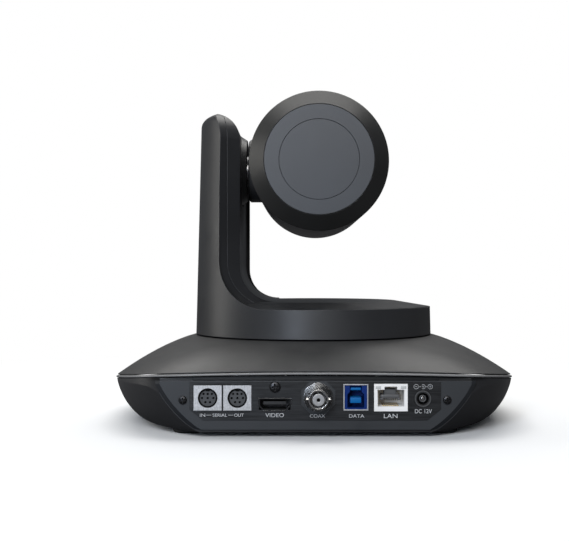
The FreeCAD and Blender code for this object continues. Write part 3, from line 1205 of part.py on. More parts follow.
front_glass = shaped("front_glass", bulged_lens(
    size("lens_radius") - size("lens_wall") - size("press_gap")))
keep("front_lens", place(front_glass, ("barrel_x", "-lens_front + glass_back", "tilt_height"), "Y"))
ring_outer = "lens_radius - lens_wall - slide_gap"
ring_inner = ring_outer + " - group_ring"
for which in ("zoom", "focus"):
    keep(which + "_lens_group", turned(which + "_group", [
        ("0", "group_glass_front"), (ring_inner, "group_glass_front"), (ring_inner, "0"),
        (ring_outer, "0"), (ring_outer, "group_length"), (ring_inner, "group_length"),
        (ring_inner, "group_glass_rear"), ("0", "group_glass_rear")],
        ("barrel_x", "-%s_place" % which, "tilt_height"), "Y"))
keep("camera_block", milled(
    "camera_block_body", rectangle("2*block_half", "2*block_half"), "block_front + block_rear",
    ("barrel_x", "block_rear", "tilt_height"), "-Y"))
keep("sensor_board", milled(
    "sensor_board_plate", rectangle("2*sensor_half", "2*sensor_half"), "board_thick",
    ("barrel_x", "block_rear + board_thick + press_gap", "tilt_height"), "-Y"))

# ---------------------------------------------------------------- checks and export

doc.recompute()
for item in doc.Objects:
    for state in ("Invalid", "Error"):
        if state in item.State:
            raise RuntimeError("%s is %s" % (item.Label, state))
for node, item in sub_parts.items():
    if item.Shape.isNull() or not item.Shape.isValid() or not item.Shape.Solids:
        raise RuntimeError(node + " has no valid solid")

os.makedirs("parts", exist_ok=True)
for node, item in sub_parts.items():
    item.Shape.exportStep("parts/%s.step" % node)
print(len(sub_parts), "sub-parts written")
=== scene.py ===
"""Looks of the desktop PTZ camera: finishes for every moulded, machined and printed part, and the
small parts that the frame leaves plain: rim bead, screw heads, port names, lights and lens rings.

Metres, in the frame's own axes: +Z up, lens towards -Y, connector panel at +Y, arm at +X.
"""
import json
import math

import bmesh
import bpy
import numpy as np
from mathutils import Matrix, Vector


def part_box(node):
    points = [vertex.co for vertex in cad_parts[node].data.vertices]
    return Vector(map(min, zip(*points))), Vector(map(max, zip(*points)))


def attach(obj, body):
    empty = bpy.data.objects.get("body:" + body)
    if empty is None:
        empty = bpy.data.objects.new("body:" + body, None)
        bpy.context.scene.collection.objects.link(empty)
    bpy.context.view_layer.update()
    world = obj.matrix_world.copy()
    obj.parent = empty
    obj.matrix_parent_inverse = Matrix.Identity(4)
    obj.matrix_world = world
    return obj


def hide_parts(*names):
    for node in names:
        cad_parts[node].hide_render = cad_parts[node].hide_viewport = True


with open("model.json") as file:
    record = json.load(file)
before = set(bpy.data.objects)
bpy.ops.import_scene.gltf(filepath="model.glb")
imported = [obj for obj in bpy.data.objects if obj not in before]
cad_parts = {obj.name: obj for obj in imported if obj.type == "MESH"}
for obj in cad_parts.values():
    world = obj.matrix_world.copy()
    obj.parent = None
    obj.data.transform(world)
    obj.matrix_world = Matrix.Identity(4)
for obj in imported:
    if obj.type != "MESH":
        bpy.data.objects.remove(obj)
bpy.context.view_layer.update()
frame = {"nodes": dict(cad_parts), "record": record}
MM = 0.001

# numbers of the colour sockets on a Mix node
MIX_SHARE, MIX_FIRST, MIX_SECOND, MIX_COLOUR = 0, 6, 7, 2

# ------------------------------------------------------------------ node helpers


def feed(tree, socket, what):
    """Links a socket to another, or sets its value."""
    if isinstance(what, bpy.types.NodeSocket):
        tree.links.new(what, socket)
    else:
        socket.default_value = what


def add(tree, kind, **values):
    """A new shader node. Each value goes to the socket of that name, or else to the setting."""
    made = tree.nodes.new("ShaderNode" + kind)
    settings = {name: what for name, what in values.items() if hasattr(made, name)}
    for name, what in settings.items():
        setattr(made, name, what)
    for name, what in values.items():
        if name not in settings:
            feed(tree, made.inputs[name.replace("_", " ")], what)
    return made


def worked(tree, operation, first, second=0.0):
    """One arithmetic step on two values."""
    made = add(tree, "Math", operation=operation)
    feed(tree, made.inputs[0], first)
    feed(tree, made.inputs[1], second)
    return made.outputs[0]


def stretch(tree, value, low, high, new_low=0.0, new_high=1.0):
    """A value carried from one range to another and held inside it."""
    made = add(tree, "MapRange", Value=value)
    ends = {"From Min": low, "From Max": high, "To Min": new_low, "To Max": new_high}
    for label, number in ends.items():
        feed(tree, made.inputs[label], number)
    return made.outputs[0]


def mixed(tree, share, first, second):
    """A colour between two colours."""
    made = add(tree, "Mix", data_type="RGBA")
    feed(tree, made.inputs[MIX_SHARE], share)
    for number, colour in ((MIX_FIRST, first), (MIX_SECOND, second)):
        linked = isinstance(colour, bpy.types.NodeSocket)
        feed(tree, made.inputs[number], colour if linked else (*colour, 1.0))
    return made.outputs[MIX_COLOUR]


def effect(name, inputs, outputs, build):
    """A node group with named inputs (name, kind, default) and outputs (name, kind)."""
    tree = bpy.data.node_groups.new(name, "ShaderNodeTree")
    for label, kind, default in inputs:
        socket = tree.interface.new_socket(label, in_out="INPUT",
                                           socket_type="NodeSocket" + kind)
        if default is not None:
            socket.default_value = default
    for label, kind in outputs:
        tree.interface.new_socket(label, in_out="OUTPUT", socket_type="NodeSocket" + kind)
    taken = tree.nodes.new("NodeGroupInput").outputs
    given = tree.nodes.new("NodeGroupOutput").inputs
    for label, what in build(tree, taken).items():
        feed(tree, given[label], what)
    return tree


def use(tree, group, **values):
    """Places a node group in a material and gives its outputs."""
    made = tree.nodes.new("ShaderNodeGroup")
    made.node_tree = group
    for name, what in values.items():
        feed(tree, made.inputs[name.replace("_", " ")], what)
    return made.outputs


# ------------------------------------------------------------------ shared effects


def build_grain(tree, taken):
    """Spark-eroded mould texture: fine noise over small rounded pits, and a slow mottle."""
    pit_scale, fine_part, pit_part = 0.7, 0.6, 0.4
    fine = add(tree, "TexNoise", Vector=taken["Place"], Scale=taken["Grains"], Detail=3.0,
               Roughness=0.6)
    pits = add(tree, "TexVoronoi", Vector=taken["Place"], feature="SMOOTH_F1",
               Scale=worked(tree, "MULTIPLY", taken["Grains"], pit_scale))
    height = worked(tree, "ADD", worked(tree, "MULTIPLY", fine.outputs[0], fine_part),
                    worked(tree, "MULTIPLY", pits.outputs["Distance"], pit_part))
    slow = add(tree, "TexNoise", Vector=taken["Place"], Scale=24.0, Detail=4.0, Roughness=0.55)
    return {"Height": height, "Mottle": stretch(tree, slow.outputs[0], 0.32, 0.68)}


def build_edges(tree, taken):
    """Rounded edges: the normal of a small radius, and a mask where it leaves the flat face."""
    round_over = add(tree, "Bevel", samples=6, Radius=taken["Radius"])
    face = add(tree, "NewGeometry")
    agree = add(tree, "VectorMath", operation="DOT_PRODUCT")
    feed(tree, agree.inputs[0], round_over.outputs[0])
    feed(tree, agree.inputs[1], face.outputs["Normal"])
    turn = worked(tree, "SUBTRACT", 1.0, agree.outputs["Value"])
    broken = add(tree, "TexNoise", Vector=taken["Place"], Scale=900.0, Detail=2.0)
    edge = stretch(tree, turn, 0.01, 0.22)
    wear = stretch(tree, broken.outputs[0], 0.3, 0.6, 0.45, 1.0)
    return {"Edge": worked(tree, "MULTIPLY", edge, wear), "Normal": round_over.outputs[0]}


def build_dust(tree, taken):
    """Dust that settles on faces that look up, in faint drifts and single specks."""
    face = add(tree, "NewGeometry")
    up = add(tree, "SeparateXYZ", Vector=face.outputs["Normal"])
    lies = stretch(tree, up.outputs["Z"], 0.35, 0.98)
    drift_part, speck_part = 0.5, 0.35
    drift = add(tree, "TexNoise", Vector=taken["Place"], Scale=60.0, Detail=5.0, Roughness=0.7)
    speck = add(tree, "TexVoronoi", Vector=taken["Place"], Scale=700.0)
    dots = stretch(tree, speck.outputs["Distance"], 0.09, 0.04)
    film = worked(tree, "ADD", stretch(tree, drift.outputs[0], 0.45, 0.85, 0.0, drift_part),
                  worked(tree, "MULTIPLY", dots, speck_part))
    on_top = worked(tree, "MULTIPLY", lies, film)
    return {"Mask": worked(tree, "MULTIPLY", on_top, taken["Amount"])}


def build_brushed(tree, taken):
    """Brushed lines: noise drawn out along one direction, and broad bands of tone."""
    fine, broad = (1.0, 1.0, 1.0), (2.3, 0.31, 0.31)
    lines = []
    for spread, detail in ((fine, 4.0), (broad, 2.0)):
        along = add(tree, "VectorMath", operation="MULTIPLY")
        feed(tree, along.inputs[0], taken["Place"])
        feed(tree, along.inputs[1], taken["Lines"])
        wide = add(tree, "VectorMath", operation="MULTIPLY")
        feed(tree, wide.inputs[0], along.outputs[0])
        feed(tree, wide.inputs[1], spread)
        noise = add(tree, "TexNoise", Vector=wide.outputs[0], Scale=1.0, Detail=detail,
                    Roughness=0.65)
        lines.append(noise.outputs[0])
    return {"Height": lines[0], "Tone": stretch(tree, worked(tree, "ADD", *lines), 0.75, 1.25)}


def build_smudge(tree, taken):
    """Faint handling marks: warped noise cut to soft patches."""
    warp = add(tree, "TexNoise", Vector=taken["Place"], Scale=35.0, Detail=2.0, Distortion=1.2)
    return {"Mask": stretch(tree, warp.outputs[0], 0.5, 0.72)}


PLACE = ("Place", "Vector", None)
moulded_grain = effect("Moulded Grain", [PLACE, ("Grains", "Float", 1800.0)],
                       [("Height", "Float"), ("Mottle", "Float")], build_grain)
rounded_edges = effect("Rounded Edges", [PLACE, ("Radius", "Float", 0.4 * MM)],
                       [("Edge", "Float"), ("Normal", "Vector")], build_edges)
settled_dust = effect("Settled Dust", [PLACE, ("Amount", "Float", 0.3)],
                      [("Mask", "Float")], build_dust)
brushed_lines = effect("Brushed Lines", [PLACE, ("Lines", "Vector", (20.0, 3000.0, 3000.0))],
                       [("Height", "Float"), ("Tone", "Float")], build_brushed)
handling = effect("Handling Marks", [PLACE], [("Mask", "Float")], build_smudge)

# ------------------------------------------------------------------ finishes

DUST = (0.30, 0.29, 0.27)
# added to the paler edge colour, which paints a highlight along the edges as well as wear
PALEST_EDGE = 0.004
PAINTED_RIM_SHADE = (0.004, 0.004, 0.0045)
# painted shade on the wall under the rear rim, where the rim's overhang would shade it: it fades in
# and out over these heights, and in over these depths
PAINTED_RIM_SHADE_LOW, PAINTED_RIM_SHADE_HIGH, PAINTED_RIM_SHADE_DEEP = (27.0, 28.4), (32.6, 31.6), (80.0, 84.0)
GLASS_ROUGHNESS, GLASS_IOR, GLASS_COAT = 0.02, 1.52, 0.4
COATING_TINT = (0.55, 0.8, 0.6, 1.0)


def finish_of(name):
    """A new material: its tree, its Principled shader and its place in the object's own axes."""
    made = bpy.data.materials.new(name)
    made.use_nodes = True
    tree = made.node_tree
    return made, tree, tree.nodes["Principled BSDF"], add(tree, "TexCoord").outputs["Object"]


def bumped(tree, shader, height, depth, normal=None):
    """Feeds a bump of that depth to the shader, on top of the rounded edges."""
    bump = add(tree, "Bump", Height=height, Distance=depth, Strength=1.0)
    if normal is not None:
        feed(tree, bump.inputs["Normal"], normal)
    feed(tree, shader.inputs["Normal"], bump.outputs[0])


def moulded(name, colour, roughness, grains=1800.0, depth=0.012, radius=0.45, lift=1.6,
            dust=0.25, coat=0.0, gloss=0.5, paint_rim_shade=False):
    """Moulded plastic: mottled colour, paler edges (partly rubbed wear, partly a painted
    highlight), dust, grain and rounded edges.
    depth and radius in millimetres; lift is how much paler the edges are, gloss the strength of
    the reflection, and the rim shade flag paints shade on the wall right under the rear rim."""
    made, tree, shader, place = finish_of(name)
    grain = use(tree, moulded_grain, Place=place, Grains=grains)
    edges = use(tree, rounded_edges, Place=place, Radius=radius * MM)
    dusty = use(tree, settled_dust, Place=place, Amount=dust)["Mask"]
    marks = use(tree, handling, Place=place)["Mask"]
    tone = mixed(tree, grain["Mottle"], [c * 0.9 for c in colour], [c * 1.1 for c in colour])
    # paler edges: partly rubbed wear, partly a painted highlight along every edge
    edges_worn_and_highlit = mixed(tree, edges["Edge"], tone, [min(1.0, c * lift + PALEST_EDGE) for c in colour])
    shown = mixed(tree, dusty, edges_worn_and_highlit, DUST)
    # painted shade: the wall right under the rear rim is darkened to stand in for the rim
    # overhang's shadow
    if paint_rim_shade:
        at = add(tree, "SeparateXYZ", Vector=place)
        above, below, behind = (
            stretch(tree, at.outputs[axis], start * MM, end * MM)
            for axis, (start, end) in (("Z", PAINTED_RIM_SHADE_LOW), ("Z", PAINTED_RIM_SHADE_HIGH),
                                       ("Y", PAINTED_RIM_SHADE_DEEP)))
        under = worked(tree, "MULTIPLY", above, worked(tree, "MULTIPLY", behind, below))
        shown = mixed(tree, under, shown, PAINTED_RIM_SHADE)
    feed(tree, shader.inputs["Base Color"], shown)
    mottle_swing, handled_shine, dust_dulling = 0.03, -0.05, 0.4
    rough = stretch(tree, grain["Mottle"], 0.0, 1.0, roughness - mottle_swing,
                    roughness + mottle_swing)
    rough = worked(tree, "ADD", rough, worked(tree, "MULTIPLY", marks, handled_shine))
    rough = worked(tree, "ADD", rough, worked(tree, "MULTIPLY", dusty, dust_dulling))
    feed(tree, shader.inputs["Roughness"], rough)
    shader.inputs["Specular IOR Level"].default_value = gloss
    shader.inputs["Coat Weight"].default_value = coat
    shader.inputs["Coat Roughness"].default_value = 0.1
    bumped(tree, shader, grain["Height"], depth * MM, edges["Normal"])
    return made


def metal(name, colour, roughness, lines, depth=0.006, radius=0.15, dark=0.75, metallic=1.0):
    """Machined or brushed metal: tool lines in colour, roughness and bump, and bright edges, partly
    wear and partly a painted highlight.
    lines is how close the lines lie along each axis, dark how deep their tone goes."""
    made, tree, shader, place = finish_of(name)
    brushed = use(tree, brushed_lines, Place=place, Lines=lines)
    edges = use(tree, rounded_edges, Place=place, Radius=radius * MM)
    marks = use(tree, handling, Place=place)["Mask"]
    tone = mixed(tree, brushed["Tone"], [c * dark for c in colour], colour)
    edge_lift, valley_dulling, ridge_polish, handled_dulling = 1.25, 0.06, 0.04, 0.06
    # brighter edges: partly wear, partly a painted highlight along every edge
    edges_worn_and_highlit = mixed(tree, edges["Edge"], tone, [min(1.0, c * edge_lift) for c in colour])
    feed(tree, shader.inputs["Base Color"], edges_worn_and_highlit)
    rough = stretch(tree, brushed["Tone"], 0.0, 1.0, roughness + valley_dulling,
                    roughness - ridge_polish)
    rough = worked(tree, "ADD", rough, worked(tree, "MULTIPLY", marks, handled_dulling))
    feed(tree, shader.inputs["Roughness"], rough)
    shader.inputs["Metallic"].default_value = metallic
    bumped(tree, shader, brushed["Height"], depth * MM, edges["Normal"])
    return made


def clear(name, tint):
    """Coated optical glass with faint handling marks and a trace of waviness."""
    made, tree, shader, place = finish_of(name)
    deeper, handled_dulling, wave_depth = 0.96, 0.03, 0.0005 * MM
    marks = use(tree, handling, Place=place)["Mask"]
    grain = use(tree, moulded_grain, Place=place, Grains=300.0)
    tone = mixed(tree, grain["Mottle"], tint, [c * deeper for c in tint])
    feed(tree, shader.inputs["Base Color"], tone)
    rough = stretch(tree, marks, 0.0, 1.0, GLASS_ROUGHNESS, GLASS_ROUGHNESS + handled_dulling)
    feed(tree, shader.inputs["Roughness"], rough)
    shader.inputs["Transmission Weight"].default_value = 1.0
    shader.inputs["IOR"].default_value = GLASS_IOR
    shader.inputs["Coat Weight"].default_value = GLASS_COAT
    shader.inputs["Coat Tint"].default_value = COATING_TINT
    bumped(tree, shader, grain["Height"], wave_depth)
    return made


# how close tool lines lie along X, Y and Z
ALONG_X, ALONG_Y = (25.0, 2600.0, 2600.0), (2600.0, 25.0, 2600.0)
ALL_WAYS = (900.0, 900.0, 900.0)
TURNED_ON_Z, GROUND_ON_Z = (1200.0, 1200.0, 2600.0), (300.0, 300.0, 2600.0)

charcoal = moulded("Satin Charcoal Plastic", (0.022, 0.0225, 0.024), 0.42, lift=2.6)
# the bottom shell's finish carries the painted shade under the rear rim
bowl_plastic = moulded("Bowl Charcoal Plastic With Painted Rim Shade", (0.022, 0.0225, 0.024), 0.42, lift=2.6,
                       paint_rim_shade=True)
# painted light: the top shell's charcoal is paler than the other housing parts to stand in for the
# light from above; its rougher finish is real
dome_plastic = moulded("Fine Matt Charcoal Plastic With Painted Top Light", (0.030, 0.030, 0.030), 0.50, dust=0.15)
chamfer_plastic = moulded("Dark Satin Cap Plastic", (0.016, 0.016, 0.0155), 0.44, radius=0.3,
                          dust=0.05, gloss=0.4)
cap_plastic = moulded("Blue Grey Cap Plastic", (0.030, 0.0345, 0.042), 0.42, radius=0.15,
                      lift=1.2)
# painted highlight: the bead's pale grey stands in for the light line along the rim's rounded lip;
# the bead's shape is real
bead_plastic = moulded("Grey Bead Painted As Rim Highlight", (0.20, 0.20, 0.20), 0.34, depth=0.004, dust=0.1)
panel_paint = moulded("Slate Panel Paint", (0.020, 0.0225, 0.026), 0.48, grains=3000.0,
                      depth=0.008, radius=0.2, dust=0.0)
label_metal = metal("Dark Brushed Label", (0.040, 0.041, 0.043), 0.40, ALONG_X, depth=0.02,
                    dark=0.30, metallic=0.65)
filter_plastic = moulded("Infrared Filter", (0.012, 0.004, 0.004), 0.08, grains=400.0,
                         depth=0.001, lift=1.1, dust=0.05, coat=0.6)
shell_metal = metal("Brushed Socket Shell", (0.66, 0.66, 0.67), 0.34, ALL_WAYS, depth=0.008,
                    dark=0.62, metallic=0.35)
video_metal = metal("Blackened Socket Shell", (0.030, 0.030, 0.031), 0.3, ALL_WAYS, metallic=0.7)
nickel = metal("Bright Nickel", (0.80, 0.79, 0.77), 0.13, ALL_WAYS, depth=0.004, radius=0.25,
               dark=0.55)
# painted reflection: this nickel is darkened, in deep brushed tone, to stand in for the dark
# surroundings a bright nut reflects
nut_metal = metal("Dark Nut Nickel With Painted Reflections", (0.34, 0.34, 0.34), 0.24, ALL_WAYS, depth=0.012,
                  radius=0.25, dark=0.3)
gold = metal("Gold Flash", (0.83, 0.62, 0.27), 0.22, ALONG_Y, depth=0.003)
socket_black = moulded("Black Socket Plastic", (0.012, 0.012, 0.013), 0.45, radius=0.15, dust=0.0)
socket_grey = moulded("Grey Socket Insert", (0.060, 0.062, 0.066), 0.5, radius=0.12, dust=0.0,
                      gloss=0.3)
# painted shade: a near-black, barely reflecting finish for pieces that stand in for the shade
# inside recesses and holes
painted_recess_shade = moulded("Painted Recess Shade Black", (0.003, 0.003, 0.003), 0.8, dust=0.0, lift=1.0, gloss=0.08)
satin_disc = metal("Satin Disc", (0.50, 0.50, 0.50), 0.3, ALL_WAYS, dark=0.8, metallic=0.5,
                   radius=0.6)
socket_blue = moulded("Blue Socket Insert", (0.001, 0.022, 0.150), 0.5, radius=0.15, dust=0.0,
                      gloss=0.15)
tongue_blue = moulded("Light Blue Tongue", (0.003, 0.130, 0.380), 0.5, radius=0.15, dust=0.0,
                      gloss=0.15)
insulator = moulded("Waxy White Insulator", (0.62, 0.62, 0.60), 0.38, radius=0.2, dust=0.0,
                    lift=1.05)
socket_white = moulded("White Network Socket", (0.90, 0.89, 0.87), 0.36, radius=0.2, dust=0.0,
                       lift=1.02)
black_oxide = metal("Black Oxide Screw", (0.030, 0.030, 0.032), 0.30, ALL_WAYS, metallic=0.8)
rubber = moulded("Black Rubber Foot", (0.014, 0.014, 0.014), 0.78, grains=900.0, depth=0.03,
                 dust=0.15)
brass = metal("Turned Brass", (0.74, 0.56, 0.26), 0.24, TURNED_ON_Z)
board_green = moulded("Board Lacquer", (0.010, 0.085, 0.035), 0.3, grains=700.0, depth=0.01,
                      dust=0.0, coat=0.3)
aluminium = metal("Milled Aluminium", (0.72, 0.73, 0.74), 0.32, ALONG_X)
black_anodised = metal("Black Anodised Heat Sink", (0.03, 0.03, 0.032), 0.4, ALONG_Y, metallic=0.5)
steel = metal("Ground Steel", (0.56, 0.56, 0.57), 0.26, GROUND_ON_Z)
belt_rubber = moulded("Belt Rubber", (0.016, 0.016, 0.016), 0.7, grains=1400.0, depth=0.03,
                      dust=0.0)
lens_black = moulded("Lens Black", (0.010, 0.010, 0.011), 0.55, dust=0.0)
window_glass = clear("Window Glass", (0.93, 0.95, 0.96))
lens_glass = clear("Coated Lens Glass", (0.80, 0.86, 0.92))
white_print = moulded("White Screen Print", (0.66, 0.67, 0.68), 0.5, grains=5000.0, depth=0.002,
                      dust=0.0, lift=1.0)
frosted_light = moulded("Frosted Light Window", (0.55, 0.56, 0.55), 0.25, dust=0.0, coat=0.5,
                        lift=1.0)
ring_grey = moulded("Grey Moulded Ring", (0.075, 0.076, 0.078), 0.4, radius=0.1, dust=0.0)

SLOT_FINISHES = {
    "housing": charcoal, "cap_face": cap_plastic, "trim": bead_plastic, "panel": panel_paint,
    "label": label_metal, "infrared_filter": filter_plastic, "socket_shell": shell_metal,
    "nickel": nickel, "contact_gold": gold,
    "socket_black": socket_black, "socket_grey": socket_grey,
    "socket_blue": socket_blue, "insulator": insulator, "socket_white": socket_white,
    "black_screw": black_oxide, "rubber": rubber, "brass": brass, "board": board_green,
    "aluminium": aluminium, "black_aluminium": black_anodised, "steel": steel, "belt": belt_rubber,
    "glass": window_glass, "lens_black": lens_black,
}
OWN_FINISHES = {
    "base_bottom_shell": bowl_plastic, "base_top_shell": dome_plastic, "rear_cap": chamfer_plastic,
    # the coax contact takes the painted recess shade, so it reads as the dark hole in the insulator
    "front_lens": lens_glass, "video_jack_shell": video_metal, "coax_jack_contact": painted_recess_shade,
    "coax_jack_insulator": satin_disc,
}

for part in frame["record"]["subparts"]:
    node = frame["nodes"][part["node"]]
    chosen = OWN_FINISHES.get(part["node"], SLOT_FINISHES[part["material_slot"]])
    node.data.materials.clear()
    node.data.materials.append(chosen)

# ------------------------------------------------------------------ worked-out surfaces

SAME_POINT = 1e-6
SHARP_ANGLE = math.radians(40)
FULL_TURN = 2 * math.pi


def quads(rows, columns, wrap_rows=False):
    """Faces of a grid of points: each point with its next neighbour along both parameters. The
    columns run round and meet; the rows do so only when asked."""
    r = np.arange(rows if wrap_rows else rows - 1)
    r, c = np.meshgrid(r, np.arange(columns), indexing="ij")
    r_next, c_next = (r + 1) % rows, (c + 1) % columns
    return np.stack([r * columns + c, r_next * columns + c, r_next * columns + c_next,
                     r * columns + c_next], axis=-1).reshape(-1, 4)


def piece(name, grids, body, finish, wrap_rows=False):
    """A piece from one or more grids of points: doubled points merged, faces turned outwards."""
    points, faces, start = [], [], 0
    for grid in grids:
        rows, columns = grid.shape[:2]
        points.append(grid.reshape(-1, 3))
        faces.append(quads(rows, columns, wrap_rows) + start)
        start += rows * columns
    mesh = bpy.data.meshes.new(name)
    mesh.from_pydata(np.concatenate(points).tolist(), [], np.concatenate(faces).tolist())
    return finished(name, mesh, body, finish)


def finished(name, mesh, body, finish):
    """Links a mesh as a piece that rides on a body, closed, and smooth between sharp edges."""
    cleaner = bmesh.new()
    cleaner.from_mesh(mesh)
    bmesh.ops.remove_doubles(cleaner, verts=cleaner.verts, dist=SAME_POINT)
    bmesh.ops.recalc_face_normals(cleaner, faces=cleaner.faces)
    for face in cleaner.faces:
        face.smooth = True
    for edge in cleaner.edges:
        edge.smooth = len(edge.link_faces) == 2 and edge.calc_face_angle(0) < SHARP_ANGLE
    cleaner.to_mesh(mesh)
    cleaner.free()
    mesh.materials.append(finish)
    made = bpy.data.objects.new(name, mesh)
    bpy.context.scene.collection.objects.link(made)
    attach(made, body)
    return made


def carried(path, across, up, widths, heights, closed):
    """A closed profile carried along a path: point = path + width * across + height * up. An open
    path gets a cap at each end, drawn together to the path's own end point."""
    grid = (path[:, None, :] + widths[None, :, None] * across[:, None, :]
            + heights[None, :, None] * up[:, None, :])
    if not closed:
        grid = np.concatenate([grid[:1] * 0 + path[0], grid, grid[-1:] * 0 + path[-1]])
    return grid


def oval(width, height, power, count=16):
    """Closed profile: a superellipse of that half width and half height."""
    t = np.linspace(0, FULL_TURN, count, endpoint=False)
    c, s = np.cos(t), np.sin(t)
    return (width * np.sign(c) * np.abs(c) ** (2 / power),
            height * np.sign(s) * np.abs(s) ** (2 / power))


def turned(radii, lengths, centre, axis, steps=96):
    """Turned surface: radii at lengths along X, Y or Z from a centre, swept once round."""
    t = np.linspace(0, FULL_TURN, steps, endpoint=False)
    first, second = {"X": (1, 2), "Y": (2, 0), "Z": (0, 1)}[axis]
    grid = np.zeros((len(radii), steps, 3)) + np.array(centre)
    grid[..., first] += radii[:, None] * np.cos(t)
    grid[..., second] += radii[:, None] * np.sin(t)
    grid[..., "XYZ".index(axis)] += lengths[:, None]
    return grid


# ------------------------------------------------------------------ rim bead


RIM_HALF_WIDTH, RIM_REAR, RIM_FRONT, RIM_POWER = 108.6, 110.0, 102.0, 2.56
RIM_REAR_LIMIT, RIM_LIMIT_POWER = 92.0, 30.0
PARTING_HEIGHT, PARTING_SLOPE, PARTING_ARCH = 25.0, 0.081, 5000.0


def rim_line(angles):
    """The base's rim: a superellipse with different front and rear depths, held back softly by a
    flat rear limit, at the height of the parting surface: a height at the centre, plus the slope
    times Y, less X squared over the arch."""
    c, s = np.cos(angles), np.sin(angles)
    depth = np.where(s > 0, RIM_REAR, RIM_FRONT)
    reach = (np.abs(c / RIM_HALF_WIDTH) ** RIM_POWER + np.abs(s / depth) ** RIM_POWER) ** (
        -1 / RIM_POWER)
    limit = RIM_REAR_LIMIT / np.maximum(s, 0.05)
    held = (reach ** -RIM_LIMIT_POWER + limit ** -RIM_LIMIT_POWER) ** (-1 / RIM_LIMIT_POWER)
    reach = np.where(s > 0, held, reach)
    x, y = reach * c, reach * s
    height = PARTING_HEIGHT + PARTING_SLOPE * y - x * x / PARTING_ARCH
    return np.stack([x, y, height], axis=-1) * MM


def rim_bead():
    """Rounded bead under the parting line: an oval profile carried round the rim."""
    path = rim_line(np.linspace(0, FULL_TURN, 720, endpoint=False))
    ahead = np.roll(path, -1, axis=0) - np.roll(path, 1, axis=0)
    ahead /= np.linalg.norm(ahead, axis=1, keepdims=True)
    up = np.zeros_like(path) + (0.0, 0.0, 1.0)
    across = np.cross(ahead, up)
    across /= np.linalg.norm(across, axis=1, keepdims=True)
    inset, drop = 1.08, 0.95
    widths, heights = oval(1.2 * MM, 0.62 * MM, 2.6)
    path = path - across * inset * MM - up * drop * MM
    return carried(path, across, up, widths, heights, closed=True)


bead = piece("rim_bead", [rim_bead()], "base", bead_plastic, wrap_rows=True)
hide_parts("rim_trim")

# ------------------------------------------------------------------ panel screws


SCREW_TOP = 91.75
SIDE_HEAD, TOP_HEAD, SCREW_SHANK = 2.0, 2.6, 1.25


def cross_screw(x, z, head):
    """Screw with a domed head and a cross recess. Head face: height falls with the square of the
    radius, less the recess depth where either of two crossed bars lies; then the side, the
    underside and the shank. head is the head's radius in millimetres."""
    turn = np.linspace(0, FULL_TURN, 96, endpoint=False)
    flat, share = head - 0.25, head / TOP_HEAD
    dome, recess, bar_half, bar_reach = 0.35, 0.85, 0.34 * share, 1.35 * share
    radius = np.linspace(0, 1, 40)[:, None] * flat
    u, v = radius * np.cos(turn), radius * np.sin(turn)
    bars = [np.exp(-(np.abs(a) / bar_half) ** 6 - (np.abs(b) / bar_reach) ** 6)
            for a, b in ((u, v), (v, u))]
    face = -dome * (radius / flat) ** 2 - recess * np.maximum(*bars)
    rim = np.array([(head - 0.08, -0.46), (head, -0.66), (head, -1.7), (SCREW_SHANK, -1.7),
                    (SCREW_SHANK, -6.6), (0, -7)])
    radii = np.concatenate([radius + 0 * turn, rim[:, :1] + 0 * turn])
    heights = np.concatenate([face, rim[:, 1:] + 0 * turn])
    return np.stack([x + radii * np.cos(turn), SCREW_TOP + heights, z + radii * np.sin(turn)],
                    axis=-1) * MM


screws = piece("cross_screws",
               [cross_screw(64.6, 18.7, SIDE_HEAD), cross_screw(-63.8, 18.7, SIDE_HEAD),
                cross_screw(19.7, 24.9, TOP_HEAD)], "base", black_oxide)
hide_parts("panel_screws")

# ------------------------------------------------------------------ printed names

LABEL_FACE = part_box("panel_label")[1].y
PRINT_RISE, STROKE_WIDTH = 0.03, 0.32


def printed(name, words, x, z, width, height):
    """Printed letters: text made a thin mesh, fitted to a width and height round a place on the
    label, reading from +X to -X."""
    letters = bpy.data.curves.new(name, "FONT")
    letters.body = words
    letters.extrude = 0.01
    holder = bpy.data.objects.new(name, letters)
    bpy.context.scene.collection.objects.link(holder)
    shown = holder.evaluated_get(bpy.context.evaluated_depsgraph_get())
    mesh = bpy.data.meshes.new_from_object(shown)
    bpy.data.objects.remove(holder)
    points = np.zeros(len(mesh.vertices) * 3, np.float32)
    mesh.vertices.foreach_get("co", points)
    points = points.reshape(-1, 3)
    low, high = points.min(0), points.max(0)
    share = (points - (low + high) / 2) / (high - low)
    placed = np.stack([x * MM - share[:, 0] * width * MM,
                       LABEL_FACE + (share[:, 2] + 0.5) * PRINT_RISE * MM,
                       z * MM + share[:, 1] * height * MM], axis=-1)
    mesh.vertices.foreach_set("co", placed.ravel().astype(np.float32))
    return finished(name, mesh, "base", white_print)


def stroke(points, width=STROKE_WIDTH):
    """A printed line: a flat oval profile carried through points (x, z) on the label."""
    flat = np.array(points, float)
    path = np.stack([flat[:, 0] * MM, flat[:, 0] * 0 + LABEL_FACE + 0.01 * MM, flat[:, 1] * MM],
                    axis=-1)
    ahead = np.gradient(path, axis=0)
    ahead /= np.linalg.norm(ahead, axis=1, keepdims=True)
    outward = np.zeros_like(path) + (0.0, 1.0, 0.0)
    widths, heights = oval(width / 2 * MM, 0.02 * MM, 3.0, 8)
    return carried(path, np.cross(ahead, outward), outward, widths, heights, closed=False)


def ring(x, z, radius, start=0.0, end=360.0):
    """Points on an arc round a place on the label, angles in degrees."""
    t = np.radians(np.linspace(start, end, 33))
    return np.stack([x + radius * np.cos(t), z + radius * np.sin(t)], axis=-1)


def line(x0, z0, x1, z1):
    """Points on a straight line between two places on the label."""
    return np.linspace((x0, z0), (x1, z1), 9)


